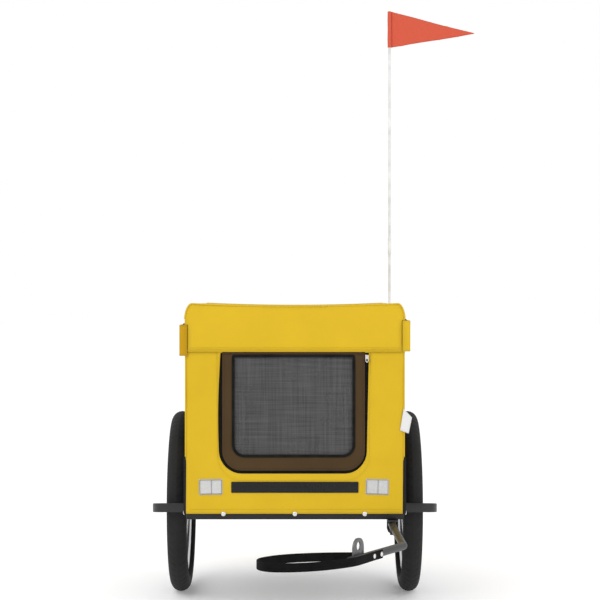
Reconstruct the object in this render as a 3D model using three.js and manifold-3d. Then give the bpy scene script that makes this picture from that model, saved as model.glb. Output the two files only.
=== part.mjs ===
// Two-wheeled bicycle trailer with a folding fabric cabin, in millimetres, +Z up.
// The front faces -Y, so the trailer's left side is at +X. It is drawn with X = 0 on the centre
// plane, Y = 0 at the wheel axle and Z = 0 on the ground, and moved at the end so that the origin
// is the bottom centre of its box, measured without the safety strap.
import * as THREE from 'three';
import { mergeVertices } from 'three/addons/utils/BufferGeometryUtils.js';
import Module from 'manifold-3d';

const GAP = 0.3; // between pieces that touch

// Wheels
const WHEEL_R = 200;
const WHEEL_X = 252.6;
const TYRE_HALF_W = 21.5;
const RIM_OUTER_R = 164;
const RIM_INNER_R = 149;
const SPOKES = 16;
const AXLE_R = 4.6;

// Base frame
const RAIL = 25; // square section
const RAIL_Z = 200; // underside
const BASE_HALF_X = 222.2;
const BASE_FRONT = -337.2;
const BASE_REAR = 307.2;

// Cabin fabric
const CLOTH = 2.5;
const CABIN_HALF_X = 225;
const CABIN_FRONT = -340;
const CABIN_REAR = 310;
const CABIN_BOTTOM = 212;
const ROOF_Z = 642;
const ROOF_CORNER_WIDE = 15;
const ROOF_CORNER_TALL = 36;
const ROOF_SAG = 5;
const ROOF_SIDE_Z = 600; // where the roof cover ends on the sides
const SKIRT_TOP = 329;
const CURTAIN_TALL = 63;
const CURTAIN_Z = { left: 544, right: 535 };
const CURTAIN_THICK = 10.7;
const EAR_INNER_X = 219.8; // the curtains' front ends lap round the corners to here

// Door, flap and roof hatch
const DOOR_HALF_X = 146;
const DOOR_BOTTOM = 300;
const DOOR_TOP = 540;
const DOOR_CORNER_R = 40;
const MESH_HALF_X = 122.5;
const MESH_BOTTOM = 331;
const MESH_CORNER_R = 22;
const OPENING_MARGIN = 5;
const FLAP_BOTTOM = 543;
const FLAP_FRONT = -344;
const HATCH_FRONT = -290;
const HATCH_REAR = 120;

// Folding hoops
const HOOP_X = 208.5;
const HOOP_R = 8;
const HOOP_PIVOT_Z = 345;
const HOOP_FOOT = 7.5; // below the pivot, short enough to turn inside the end walls
const HOOP_TOP_Z = 626;
const HOOP_CORNER_R = 26;
const HOOP_FRONT_Y = -326;
const HOOP_REAR_Y = 296;
const KNOB_Z = 371;

// Tow arm
const ARM_R = 7.5;
const ARM_Z = 188;
const ARM_PIVOT = [199, -324];
const ARM_BEND = [203.5, -632];
const ARM_END = [98, -822];
const EYE_AT = [114.1, -793];
const EYE_Z = 212;
const EYE_PLATE_WIDTH = 40;
const EYE_PLATE_THICK = 3.5;

// Safety strap: its centre line on the plan, from the outer rivet round the loop and back
const STRAP_WIDTH = 16;
const STRAP_THICKNESS = 2.4;
const STRAP_ROUTE = [
  [159, -730.7], [144.1, -757.5], [127.4, -790], [108.5, -824], [84, -850], [52, -874], [14, -891],
  [-24, -897], [-51, -888], [-65, -864], [-63, -839], [-49, -817], [-23, -795], [14, -779],
  [56, -770], [97, -767], [118, -769],
];

// Flag
const FLAG_AT = [229.5, 318];
const POLE_R = 3;
const POLE_TOP = 1348;
const PENNANT_HOIST = 87;
const PENNANT_FLY = 205;

const FINISHES = {
  yellow: { color: 0xe2bd30, roughness: 0.85, metalness: 0 },
  black_cloth: { color: 0x2e2f2f, roughness: 0.9, metalness: 0 },
  brown_cloth: { color: 0x513f2c, roughness: 0.9, metalness: 0 },
  mesh: { color: 0x4a4a4a, roughness: 0.8, metalness: 0 },
  black_metal: { color: 0x2c2d2d, roughness: 0.45, metalness: 0.3 },
  grey_metal: { color: 0x77777a, roughness: 0.4, metalness: 0.8 },
  tyre: { color: 0x242424, roughness: 0.85, metalness: 0 },
  alloy: { color: 0xb8babc, roughness: 0.3, metalness: 1 },
  steel: { color: 0xc8c8c8, roughness: 0.25, metalness: 1 },
  black_plastic: { color: 0x1c1c1c, roughness: 0.5, metalness: 0 },
  board: { color: 0x6b5a45, roughness: 0.8, metalness: 0 },
  white_plastic: { color: 0xf0f0f0, roughness: 0.4, metalness: 0 },
  flag: { color: 0xdd624d, roughness: 0.8, metalness: 0 },
};
const materials = Object.fromEntries(
  Object.entries(FINISHES).map(([name, values]) => [name, new THREE.MeshStandardMaterial(values)]),
);

const trailer = new THREE.Group();

function add(name, geometry, finish) {
  const mesh = new THREE.Mesh(geometry, materials[finish]);
  mesh.name = name;
  trailer.add(mesh);
}

// Booleans ---------------------------------------------------------------------------------

const wasm = await Module();
wasm.setup();

function toManifold(geometry) {
  const bare = geometry.clone();
  bare.deleteAttribute('normal');
  bare.deleteAttribute('uv');
  const merged = mergeVertices(bare, 1e-4);
  return new wasm.Manifold(new wasm.Mesh({
    numProp: 3,
    vertProperties: new Float32Array(merged.attributes.position.array),
    triVerts: new Uint32Array(merged.index.array),
  }));
}

function toGeometry(manifold) {
  const mesh = manifold.getMesh();
  const geometry = new THREE.BufferGeometry();
  geometry.setAttribute('position', new THREE.BufferAttribute(new Float32Array(mesh.vertProperties), 3));
  geometry.setIndex(new THREE.BufferAttribute(new Uint32Array(mesh.triVerts), 1));
  geometry.computeVertexNormals();
  return geometry;
}

function join(...geometries) {
  return toGeometry(geometries.map(toManifold).reduce((all, next) => all.add(next)));
}

function cut(geometry, ...tools) {
  return toGeometry(tools.map(toManifold).reduce((all, tool) => all.subtract(tool), toManifold(geometry)));
}

// Shapes -----------------------------------------------------------------------------------

function box([x0, x1], [y0, y1], [z0, z1]) {
  const geometry = new THREE.BoxGeometry(x1 - x0, y1 - y0, z1 - z0);
  return geometry.translate((x0 + x1) / 2, (y0 + y1) / 2, (z0 + z1) / 2);
}

// A range on the side that `side` names: +1 is the trailer's left, -1 its right.
function sideRange(side, inner, outer) {
  return side > 0 ? [inner, outer] : [-outer, -inner];
}

function rodX(radius, x0, x1, y, z, sides = 16) {
  const geometry = new THREE.CylinderGeometry(radius, radius, Math.abs(x1 - x0), sides);
  return geometry.rotateZ(Math.PI / 2).translate((x0 + x1) / 2, y, z);
}

function rodZ(radius, x, y, z0, z1, sides = 16) {
  const geometry = new THREE.CylinderGeometry(radius, radius, z1 - z0, sides);
  return geometry.rotateX(Math.PI / 2).translate(x, y, (z0 + z1) / 2);
}

function roundedRect(x0, y0, x1, y1, bottomR, topR = bottomR) {
  const shape = new THREE.Shape();
  shape.moveTo(x0 + bottomR, y0);
  shape.lineTo(x1 - bottomR, y0);
  if (bottomR > 0) shape.absarc(x1 - bottomR, y0 + bottomR, bottomR, -Math.PI / 2, 0, false);
  shape.lineTo(x1, y1 - topR);
  if (topR > 0) shape.absarc(x1 - topR, y1 - topR, topR, 0, Math.PI / 2, false);
  shape.lineTo(x0 + topR, y1);
  if (topR > 0) shape.absarc(x0 + topR, y1 - topR, topR, Math.PI / 2, Math.PI, false);
  shape.lineTo(x0, y0 + bottomR);
  if (bottomR > 0) shape.absarc(x0 + bottomR, y0 + bottomR, bottomR, Math.PI, Math.PI * 1.5, false);
  return shape;
}

function extrude(shape, depth, curveSegments = 5) {
  return new THREE.ExtrudeGeometry(shape, { depth, bevelEnabled: false, curveSegments });
}

// A panel drawn on (X, Z) that spans y0 to y0 + depth.
function panelXZ(shape, y0, depth) {
  return extrude(shape, depth).rotateX(Math.PI / 2).translate(0, y0 + depth, 0);
}

// A panel drawn on (Y, Z) that spans x0 to x0 + depth.
function panelYZ(shape, x0, depth) {
  const turn = new THREE.Matrix4().makeBasis(
    new THREE.Vector3(0, 1, 0), new THREE.Vector3(0, 0, 1), new THREE.Vector3(1, 0, 0),
  );
  return extrude(shape, depth).applyMatrix4(turn).translate(x0, 0, 0);
}

function slab(shape, z0, depth) {
  return extrude(shape, depth).translate(0, 0, z0);
}

// Straight runs joined by rounded bends of the given radius.
function bentPath(points, radius) {
  const path = new THREE.CurvePath();
  let from = points[0];
  for (let i = 1; i < points.length - 1; i += 1) {
    const corner = points[i];
    const before = points[i - 1].clone().sub(corner).normalize();
    const after = points[i + 1].clone().sub(corner).normalize();
    const reach = radius / Math.tan(before.angleTo(after) / 2);
    const start = corner.clone().addScaledVector(before, reach);
    const end = corner.clone().addScaledVector(after, reach);
    path.add(new THREE.LineCurve3(from, start));
    path.add(new THREE.QuadraticBezierCurve3(start, corner.clone(), end));
    from = end;
  }
  path.add(new THREE.LineCurve3(from, points[points.length - 1]));
  return path;
}

function circle(radius, sides) {
  const corner = (i) => new THREE.Vector2(
    radius * Math.cos((2 * Math.PI * i) / sides), radius * Math.sin((2 * Math.PI * i) / sides),
  );
  return new THREE.Shape(Array.from({ length: sides }, (_, i) => corner(i)));
}

function sweep(section, path, steps) {
  return new THREE.ExtrudeGeometry(section, { steps, extrudePath: path, bevelEnabled: false });
}

const v3 = (x, y, z) => new THREE.Vector3(x, y, z);
const sides = { left: 1, right: -1 };

// Wheels -----------------------------------------------------------------------------------

// A ring round the X axis from a closed profile of (radius, offset from the wheel's plane).
function ring(profile, segments, x) {
  const points = [...profile, profile[0]].map(([r, w]) => new THREE.Vector2(r, w));
  return new THREE.LatheGeometry(points, segments).rotateZ(-Math.PI / 2).translate(x, 0, WHEEL_R);
}

function tyreProfile() {
  const crown = [];
  const middle = 178;
  for (let i = 0; i <= 8; i += 1) {
    const angle = -0.35 + ((Math.PI + 0.7) * i) / 8;
    crown.push([middle + (WHEEL_R - middle) * Math.sin(angle), -TYRE_HALF_W * Math.cos(angle)]);
  }
  return [[RIM_OUTER_R + GAP, -11], ...crown, [RIM_OUTER_R + GAP, 11]];
}

const RIM_PROFILE = [
  [RIM_INNER_R, -5], [155, -12.5], [RIM_OUTER_R, -12.5], [RIM_OUTER_R, 12.5], [155, 12.5],
  [RIM_INNER_R, 5],
];

function hubWithSpokes(side) {
  const shell = ring([[AXLE_R + GAP, -24], [14, -24], [14, 24], [AXLE_R + GAP, 24]], 16, 0);
  const pieces = [shell];
  for (const flange of [-1, 1]) {
    pieces.push(ring([[10, flange * 17 - 1.5], [24, flange * 17 - 1.5], [24, flange * 17 + 1.5],
      [10, flange * 17 + 1.5]], 16, 0));
  }
  for (let i = 0; i < SPOKES; i += 1) {
    const flange = i % 2 ? 17 : -17;
    const from = v3(flange, 0, 20);
    const to = v3(flange * 0.1, 0, RIM_INNER_R - 0.5);
    const spoke = new THREE.CylinderGeometry(1.3, 1.3, to.distanceTo(from), 5);
    spoke.rotateX(Math.PI / 2);
    spoke.lookAt(to.clone().sub(from));
    const middle = from.clone().add(to).multiplyScalar(0.5);
    spoke.translate(middle.x, middle.y, middle.z);
    spoke.rotateX((2 * Math.PI * (i + 0.5)) / SPOKES);
    spoke.translate(0, 0, WHEEL_R);
    pieces.push(spoke);
  }
  return join(...pieces).translate(side * WHEEL_X, 0, 0);
}

for (const [name, side] of Object.entries(sides)) {
  const x = side * WHEEL_X;
  add(`tyre_${name}`, ring(tyreProfile(), 40, x), 'tyre');
  add(`rim_${name}`, ring(RIM_PROFILE, 40, x), 'alloy');
  add(`hub_and_spokes_${name}`, hubWithSpokes(side), 'alloy');
  add(`axle_${name}`, rodX(AXLE_R, side * 222.6, side * 281.6, 0, WHEEL_R), 'steel');
  const nut = cut(
    rodX(7.5, side * 280.8, side * 286.4, 0, WHEEL_R, 6),
    rodX(AXLE_R + GAP, side * 280, side * 282.2, 0, WHEEL_R),
  );
  add(`axle_nut_${name}`, nut, 'steel');
}

// Base frame -------------------------------------------------------------------------------

const RAIL_Z_RANGE = [RAIL_Z, RAIL_Z + RAIL];
const SIDE_RAIL_Y = [BASE_FRONT + RAIL + GAP, BASE_REAR - RAIL - GAP];
const endRailX = [-BASE_HALF_X, BASE_HALF_X];
add('front_rail', box(endRailX, [BASE_FRONT, BASE_FRONT + RAIL], RAIL_Z_RANGE), 'black_metal');
add('rear_rail', box(endRailX, [BASE_REAR - RAIL, BASE_REAR], RAIL_Z_RANGE), 'black_metal');

// Side rail with the welded plate that holds the wheel axle's inner end.
function sideRail(side) {
  const rail = box(sideRange(side, BASE_HALF_X - RAIL, BASE_HALF_X), SIDE_RAIL_Y, RAIL_Z_RANGE);
  const plate = box(sideRange(side, BASE_HALF_X - 1, 226.4), [-16, 16], [184, 211.6]);
  const hole = rodX(AXLE_R + GAP, side * 222, side * 228, 0, WHEEL_R);
  const relief = box(sideRange(side, 215, BASE_HALF_X + 0.2), [-8, 8], [192, 206]);
  return cut(join(rail, plate), hole, relief);
}

for (const [name, side] of Object.entries(sides)) add(`${name}_rail`, sideRail(side), 'black_metal');

const innerRailX = BASE_HALF_X - RAIL - GAP;
add('axle_crossbar', box([-innerRailX, innerRailX], [-12.5, 12.5], RAIL_Z_RANGE), 'black_metal');
const FLOOR_Z = RAIL_Z + RAIL + GAP;
add('floor_board', slab(roundedRect(-214, -314, 214, 284, 6), FLOOR_Z, 4), 'board');
const MAT_Z = FLOOR_Z + 4 + GAP;
add('floor_mat', slab(roundedRect(-190, -300, 190, 270, 20), MAT_Z, 18), 'black_cloth');

// Corner posts, each a fork that carries one hoop leg on a pin, with a lock knob in its inner ear.
const FORK_INNER = HOOP_R + GAP;
const FORK_OUTER = HOOP_R + 3.3;

function cornerPost(side, y) {
  const x = side * HOOP_X;
  const ends = [x - FORK_OUTER, x + FORK_OUTER];
  const post = box(ends, [y - 9, y + 9], [FLOOR_Z, HOOP_PIVOT_Z - 14]);
  const outerEar = panelYZ(roundedRect(y - 9, 325, y + 9, 355, 0, 8), 0, FORK_OUTER - FORK_INNER);
  const innerEar = panelYZ(roundedRect(y - 9, 325, y + 9, 383, 0, 8), 0, FORK_OUTER - FORK_INNER);
  outerEar.translate(side > 0 ? x + FORK_INNER : x - FORK_OUTER, 0, 0);
  innerEar.translate(side > 0 ? x - FORK_OUTER : x + FORK_INNER, 0, 0);
  return cut(
    join(post, outerEar, innerEar),
    rodX(3 + GAP, x - 14, x + 14, y, HOOP_PIVOT_Z, 12),
    rodX(2.5 + GAP, x - side * 14, x - side * 5, y, KNOB_Z, 12),
  );
}

function hingePin(side, y) {
  const x = side * HOOP_X;
  const shaft = rodX(3, x - side * 14, x + side * 11, y, HOOP_PIVOT_Z, 12);
  const head = rodX(5.5, x - side * 14, x - side * 11.7, y, HOOP_PIVOT_Z, 12);
  return join(shaft, head);
}

function lockKnob(side, y) {
  const x = side * HOOP_X;
  const shaft = rodX(2.5, x - side * 16, x - side * 8.6, y, KNOB_Z, 12);
  const head = rodX(8, x - side * 22, x - side * 13, y, KNOB_Z, 16);
  return join(shaft, head);
}

for (const [end, y] of [['front', HOOP_FRONT_Y], ['rear', HOOP_REAR_Y]]) {
  for (const [name, side] of Object.entries(sides)) {
    add(`corner_post_${end}_${name}`, cornerPost(side, y), 'black_plastic');
    add(`hinge_pin_${end}_${name}`, hingePin(side, y), 'steel');
    add(`lock_knob_${end}_${name}`, lockKnob(side, y), 'black_plastic');
  }
}

// Folding hoop: an inverted U of tube between the two forks of its end.
function hoop(y) {
  const foot = HOOP_PIVOT_Z - HOOP_FOOT;
  const path = bentPath([
    v3(-HOOP_X, y, foot), v3(-HOOP_X, y, HOOP_TOP_Z), v3(HOOP_X, y, HOOP_TOP_Z), v3(HOOP_X, y, foot),
  ], HOOP_CORNER_R);
  const tube = sweep(circle(HOOP_R, 10), path, 34);
  const holes = [-1, 1].map((side) => (
    rodX(3 + GAP, side * (HOOP_X - 12), side * (HOOP_X + 12), y, HOOP_PIVOT_Z, 12)));
  return cut(tube, ...holes);
}
add('hoop_front', hoop(HOOP_FRONT_Y), 'black_metal');
add('hoop_rear', hoop(HOOP_REAR_Y), 'black_metal');

// Wheel guards -----------------------------------------------------------------------------

// A flat bar that crosses in front of the wheel, turns back and slopes down to a plate that
// holds the axle's outer end.
const GUARD_Y = -222;
const GUARD_X = 298.5;
const GUARD_TALL = 19;
const GUARD_THICK = 8;
const GUARD_PLATE_X = 277;

function wheelGuard(side) {
  const path = bentPath([
    v3(side * 228, GUARD_Y, 210.5), v3(side * GUARD_X, GUARD_Y, 210.5), v3(side * GUARD_X, 14, 181),
  ], 32);
  const section = new THREE.Shape([
    new THREE.Vector2(-GUARD_TALL / 2, -GUARD_THICK / 2), new THREE.Vector2(GUARD_TALL / 2, -GUARD_THICK / 2),
    new THREE.Vector2(GUARD_TALL / 2, GUARD_THICK / 2), new THREE.Vector2(-GUARD_TALL / 2, GUARD_THICK / 2),
  ]);
  const bar = sweep(section, path, 26);
  const tab = box(sideRange(side, BASE_HALF_X + GAP, 232), [GUARD_Y - 4, GUARD_Y + 20], [201.2, 211.5]);
  const foot = box(sideRange(side, GUARD_PLATE_X, GUARD_X - 2), [-14, 13], [176, 188]);
  const plate = box(sideRange(side, GUARD_PLATE_X, GUARD_PLATE_X + 3.5), [-14, 14], [176, 213]);
  const hole = rodX(AXLE_R + GAP, side * (GUARD_PLATE_X - 2), side * (GUARD_PLATE_X + 6), 0, WHEEL_R);
  return cut(join(bar, tab, foot, plate), hole);
}
for (const [name, side] of Object.entries(sides)) {
  add(`wheel_guard_${name}`, wheelGuard(side), 'black_metal');
}

// Cabin fabric -----------------------------------------------------------------------------

const SIDE_INNER = CABIN_HALF_X - CLOTH;
const END_HALF_X = SIDE_INNER - GAP;

function frontWall() {
  const outline = roundedRect(-END_HALF_X, CABIN_BOTTOM, END_HALF_X, ROOF_SIDE_Z + 32, 0, 24);
  outline.holes.push(roundedRect(
    -DOOR_HALF_X - OPENING_MARGIN, DOOR_BOTTOM - OPENING_MARGIN - 1,
    DOOR_HALF_X + OPENING_MARGIN, DOOR_TOP + 1, DOOR_CORNER_R + OPENING_MARGIN, 0,
  ));
  return panelXZ(outline, CABIN_FRONT, CLOTH);
}

function rearWall() {
  const outline = roundedRect(-END_HALF_X, CABIN_BOTTOM, END_HALF_X, ROOF_SIDE_Z + 32, 0, 24);
  outline.holes.push(roundedRect(-125, 360, 125, 540, 22));
  return panelXZ(outline, CABIN_REAR - CLOTH, CLOTH);
}

function sideWall(side) {
  const outline = roundedRect(CABIN_FRONT, CABIN_BOTTOM, CABIN_REAR, ROOF_SIDE_Z - GAP, 0);
  outline.holes.push(roundedRect(-205, 352, 175, 530, 22));
  return panelYZ(outline, side > 0 ? SIDE_INNER : -CABIN_HALF_X, CLOTH);
}

add('front_wall', frontWall(), 'yellow');
add('rear_wall', rearWall(), 'yellow');
add('rear_window_mesh', panelXZ(roundedRect(-133, 352, 133, 548, 24), CABIN_REAR - CLOTH - 1.8, 1.5), 'mesh');

for (const [name, side] of Object.entries(sides)) {
  add(`side_wall_${name}`, sideWall(side), 'yellow');
  const meshX = side > 0 ? SIDE_INNER - 1.5 - GAP : -SIDE_INNER + GAP;
  add(`side_window_mesh_${name}`, panelYZ(roundedRect(-213, 344, 183, 538, 24), meshX, 1.5), 'mesh');
  const skirtX = side > 0 ? CABIN_HALF_X + GAP : -CABIN_HALF_X - GAP - 2;
  const skirt = panelYZ(roundedRect(-336, CABIN_BOTTOM, 300, SKIRT_TOP, 8), skirtX, 2);
  const notch = box(
    sideRange(side, CABIN_HALF_X - 1, CABIN_HALF_X + 6), [GUARD_Y - 8, GUARD_Y + 8], [200, 221],
  );
  add(`lower_side_panel_${name}`, cut(skirt, notch), 'black_cloth');
  const curtainZ = CURTAIN_Z[name];
  const curtainX = side > 0 ? CABIN_HALF_X + GAP : -CABIN_HALF_X - GAP - CURTAIN_THICK;
  const bundle = panelYZ(
    roundedRect(FLAP_FRONT, curtainZ, 270, curtainZ + CURTAIN_TALL, 4), curtainX, CURTAIN_THICK,
  );
  const ear = box(
    sideRange(side, EAR_INNER_X, CABIN_HALF_X + 1), [FLAP_FRONT, FLAP_FRONT + CLOTH],
    [curtainZ + 1, curtainZ + CURTAIN_TALL - 1],
  );
  add(`side_curtain_${name}`, join(bundle, ear), 'yellow');
}

// Roof cover: a sheet bent over both top edges, with a rectangular hole for the hatch. The front
// flap hangs in front of it and has the same rounded top corners.
function roofOutline(inset, bottom) {
  const x = CABIN_HALF_X - inset;
  const wide = ROOF_CORNER_WIDE - inset;
  const tall = ROOF_CORNER_TALL - inset;
  const top = ROOF_Z - inset;
  const outline = new THREE.Shape();
  outline.moveTo(x, bottom);
  outline.lineTo(x, top - tall);
  outline.absellipse(x - wide, top - tall, wide, tall, 0, Math.PI / 2, false);
  outline.quadraticCurveTo(0, top - 2 * ROOF_SAG, -x + wide, top);
  outline.absellipse(-x + wide, top - tall, wide, tall, Math.PI / 2, Math.PI, false);
  outline.lineTo(-x, bottom);
  return outline;
}

function roofShell() {
  const front = CABIN_FRONT - 1.2;
  const outside = panelXZ(roofOutline(0, ROOF_SIDE_Z), front, CABIN_REAR - front);
  const inside = panelXZ(roofOutline(CLOTH, ROOF_SIDE_Z - 5), front - 5, 700);
  const hatchHole = slab(roundedRect(-150, HATCH_FRONT - 4, 150, HATCH_REAR + 4, 20), 600, 60);
  return cut(outside, inside, hatchHole);
}
add('roof_cover', roofShell(), 'yellow');
function frontFlap() {
  const notches = ['left', 'right'].map((name) => box(
    sideRange(sides[name], EAR_INNER_X - GAP, CABIN_HALF_X + 5), [FLAP_FRONT - 5, CABIN_FRONT],
    [FLAP_BOTTOM - 10, CURTAIN_Z[name] + CURTAIN_TALL + GAP],
  ));
  return cut(panelXZ(roofOutline(0, FLAP_BOTTOM), FLAP_FRONT, CLOTH), ...notches);
}
add('front_flap', frontFlap(), 'yellow');

// The hatch follows the roof's sag, so it is cut from the same bent sheet.
function roofHatch() {
  const outside = panelXZ(roofOutline(0, ROOF_SIDE_Z), HATCH_FRONT, HATCH_REAR - HATCH_FRONT);
  const inside = panelXZ(roofOutline(CLOTH, ROOF_SIDE_Z - 5), HATCH_FRONT - 5, 700);
  const sheet = toManifold(cut(outside, inside));
  const footprint = slab(roundedRect(-DOOR_HALF_X, HATCH_FRONT, DOOR_HALF_X, HATCH_REAR, 18), 600, 60);
  return toGeometry(sheet.intersect(toManifold(footprint)));
}
add('roof_hatch', roofHatch(), 'mesh');

// Door: a sewn frame with a mesh panel behind it, closed by a zip round three sides.
function doorFrame() {
  const outline = roundedRect(-DOOR_HALF_X, DOOR_BOTTOM, DOOR_HALF_X, DOOR_TOP, DOOR_CORNER_R, 0);
  outline.holes.push(roundedRect(-MESH_HALF_X, MESH_BOTTOM, MESH_HALF_X, DOOR_TOP - 6, MESH_CORNER_R, 2));
  return panelXZ(outline, CABIN_FRONT, 2);
}
add('door_frame', doorFrame(), 'brown_cloth');
add('door_mesh', panelXZ(
  roundedRect(-MESH_HALF_X - 8, MESH_BOTTOM - 8, MESH_HALF_X + 8, DOOR_TOP, MESH_CORNER_R + 6, 2),
  CABIN_FRONT + 2 + GAP, 1,
), 'mesh');

function doorZip() {
  const reach = OPENING_MARGIN + 8;
  const tape = panelXZ(roundedRect(
    -DOOR_HALF_X - reach, DOOR_BOTTOM - reach, DOOR_HALF_X + reach, DOOR_TOP, DOOR_CORNER_R + reach, 0,
  ), CABIN_FRONT + CLOTH + GAP, 1.2);
  const hole = panelXZ(roundedRect(
    -DOOR_HALF_X + 6, DOOR_BOTTOM + 6, DOOR_HALF_X - 6, DOOR_TOP + 40, DOOR_CORNER_R - 6, 0,
  ), CABIN_FRONT, 10);
  return cut(tape, hole);
}
add('door_zip', doorZip(), 'black_cloth');

const SLIDER_Z = 532;
const sliderBodyX = [DOOR_HALF_X + 0.8, DOOR_HALF_X + 8];
const pullTabX = [DOOR_HALF_X + 2.5, DOOR_HALF_X + 6.3];
add('zip_slider', join(
  box(sliderBodyX, [CABIN_FRONT - 3.4, CABIN_FRONT - GAP], [SLIDER_Z - 5, SLIDER_Z + 5]),
  box(pullTabX, [CABIN_FRONT - 3.4, CABIN_FRONT - 1.6], [SLIDER_Z - 11, SLIDER_Z]),
), 'steel');

// Tow arm ----------------------------------------------------------------------------------

const [pivotX, pivotY] = ARM_PIVOT;

// U-bracket under the front rail: two plates with a web behind them.
function armBracket() {
  const block = box([pivotX - 9, pivotX + 10], [-352, -298], [ARM_Z - 11.7, RAIL_Z - GAP]);
  const slot = box([pivotX - 20, pivotX + 20], [-360, -301.5], [ARM_Z - 8.4, ARM_Z + 8.4]);
  const bolt = rodZ(4 + GAP, pivotX, pivotY, 160, 210, 12);
  const pin = rodZ(2.5 + GAP, pivotX, pivotY - 19, 160, 185, 12);
  return cut(block, slot, bolt, pin);
}
add('arm_bracket', armBracket(), 'black_metal');
add('arm_pivot_bolt', join(
  rodZ(4, pivotX, pivotY, 173, RAIL_Z - 2 * GAP, 12), rodZ(7, pivotX, pivotY, 171.5, 176, 6),
), 'steel');
const pinY = pivotY - 19;
add('arm_lock_pin', join(
  rodZ(2.5, pivotX, pinY, 172, ARM_Z - ARM_R - 2 * GAP, 12), rodZ(5, pivotX, pinY, 169.5, 174.5, 12),
), 'black_plastic');

function armTube() {
  const tube = sweep(circle(ARM_R, 10), bentPath([
    v3(pivotX, pivotY + 9, ARM_Z), v3(...ARM_BEND, ARM_Z), v3(...ARM_END, ARM_Z),
  ], 14), 30);
  return cut(tube, rodZ(4 + GAP, pivotX, pivotY, 170, 210, 12));
}

// The eye plate stands on edge along the arm's last run, on the side away from the strap.
const runDirection = v3(ARM_END[0] - ARM_BEND[0], ARM_END[1] - ARM_BEND[1], 0).normalize();
const runNormal = v3(-runDirection.y, runDirection.x, 0);

function alongRun(geometry, offset) {
  const turn = new THREE.Matrix4().makeBasis(runDirection, v3(0, 0, 1), runNormal.clone().negate());
  const at = v3(...EYE_AT, 0).addScaledVector(runNormal, offset);
  return geometry.applyMatrix4(turn).translate(at.x, at.y, 0);
}

function eyePlate() {
  const halfWidth = EYE_PLATE_WIDTH / 2;
  const outline = roundedRect(-halfWidth, ARM_Z - 6, halfWidth, EYE_Z + 13, 3, 17);
  const hole = new THREE.Path();
  hole.absarc(0, EYE_Z - 1, 8, 0, 2 * Math.PI, false);
  outline.holes.push(hole);
  return alongRun(extrude(outline, EYE_PLATE_THICK), 0);
}

// The slot in the arm that the eye plate sits in, a gap wider than the plate on each side.
const slotHalfWidth = EYE_PLATE_WIDTH / 2 + 4;
const plateSlot = alongRun(
  extrude(roundedRect(-slotHalfWidth, 170, slotHalfWidth, 205, 0), EYE_PLATE_THICK + 2 * GAP), GAP,
);
add('tow_arm', cut(armTube(), plateSlot), 'grey_metal');
add('hitch_eye_plate', eyePlate(), 'grey_metal');

// Flat webbing on edge: a sweep of its section along the loop.
function safetyStrap() {
  const points = STRAP_ROUTE.map(([x, y]) => v3(x, y, ARM_Z));
  const curve = new THREE.CatmullRomCurve3(points, false, 'centripetal');
  const half = STRAP_WIDTH / 2;
  const thin = STRAP_THICKNESS / 2;
  const section = new THREE.Shape([
    new THREE.Vector2(-half, -thin), new THREE.Vector2(half, -thin),
    new THREE.Vector2(half, thin), new THREE.Vector2(-half, thin),
  ]);
  return sweep(section, curve, 60);
}
add('safety_strap', safetyStrap(), 'black_cloth');

// Flag -------------------------------------------------------------------------------------

const [flagX, flagY] = FLAG_AT;
add('flag_socket', cut(
  join(
    rodZ(6.5, flagX, flagY, 196, 262, 12),
    box([205, flagX], [BASE_REAR + GAP, flagY], [200.5, 211.5]),
  ),
  rodZ(POLE_R + GAP, flagX, flagY, 203, 270, 12),
), 'black_plastic');
add('flag_pole', rodZ(POLE_R, flagX, flagY, 204, POLE_TOP - 1, 10), 'white_plastic');

function pennant() {
  const hoist = flagX;
  const outline = new THREE.Shape();
  outline.moveTo(hoist - 5, POLE_TOP - PENNANT_HOIST);
  outline.lineTo(hoist + PENNANT_FLY, POLE_TOP - 54);
  outline.lineTo(hoist + PENNANT_FLY, POLE_TOP - 52);
  outline.lineTo(hoist - 5, POLE_TOP);
  outline.lineTo(hoist - 5, POLE_TOP - PENNANT_HOIST);
  const cloth = panelXZ(outline, flagY - 0.6, 1.2);
  const sleeve = rodZ(POLE_R + 1.5, flagX, flagY, POLE_TOP - PENNANT_HOIST, POLE_TOP + 1, 12);
  return cut(join(cloth, sleeve), rodZ(POLE_R + GAP, flagX, flagY, POLE_TOP - 120, POLE_TOP - 0.5, 12));
}
add('pennant', pennant(), 'flag');

// Put the origin at the bottom centre of the box of everything but the safety strap.
const bounds = new THREE.Box3();
for (const mesh of trailer.children) {
  if (mesh.name !== 'safety_strap') bounds.expandByObject(mesh);
}
const middle = bounds.getCenter(new THREE.Vector3());
trailer.position.set(-middle.x, -middle.y, 0);

export default trailer;
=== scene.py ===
"""A two-wheeled bicycle trailer with a yellow fabric cabin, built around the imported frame.

Sizes are in millimetres on the drawing's own axes: X = 0 on the centre plane, Y = 0 at the wheel
axle, Z = 0 on the ground, with the front facing -Y. at() turns them into the row frame, in metres.
"""
import math

import bmesh
import bpy
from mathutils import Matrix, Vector, geometry, noise


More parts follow.
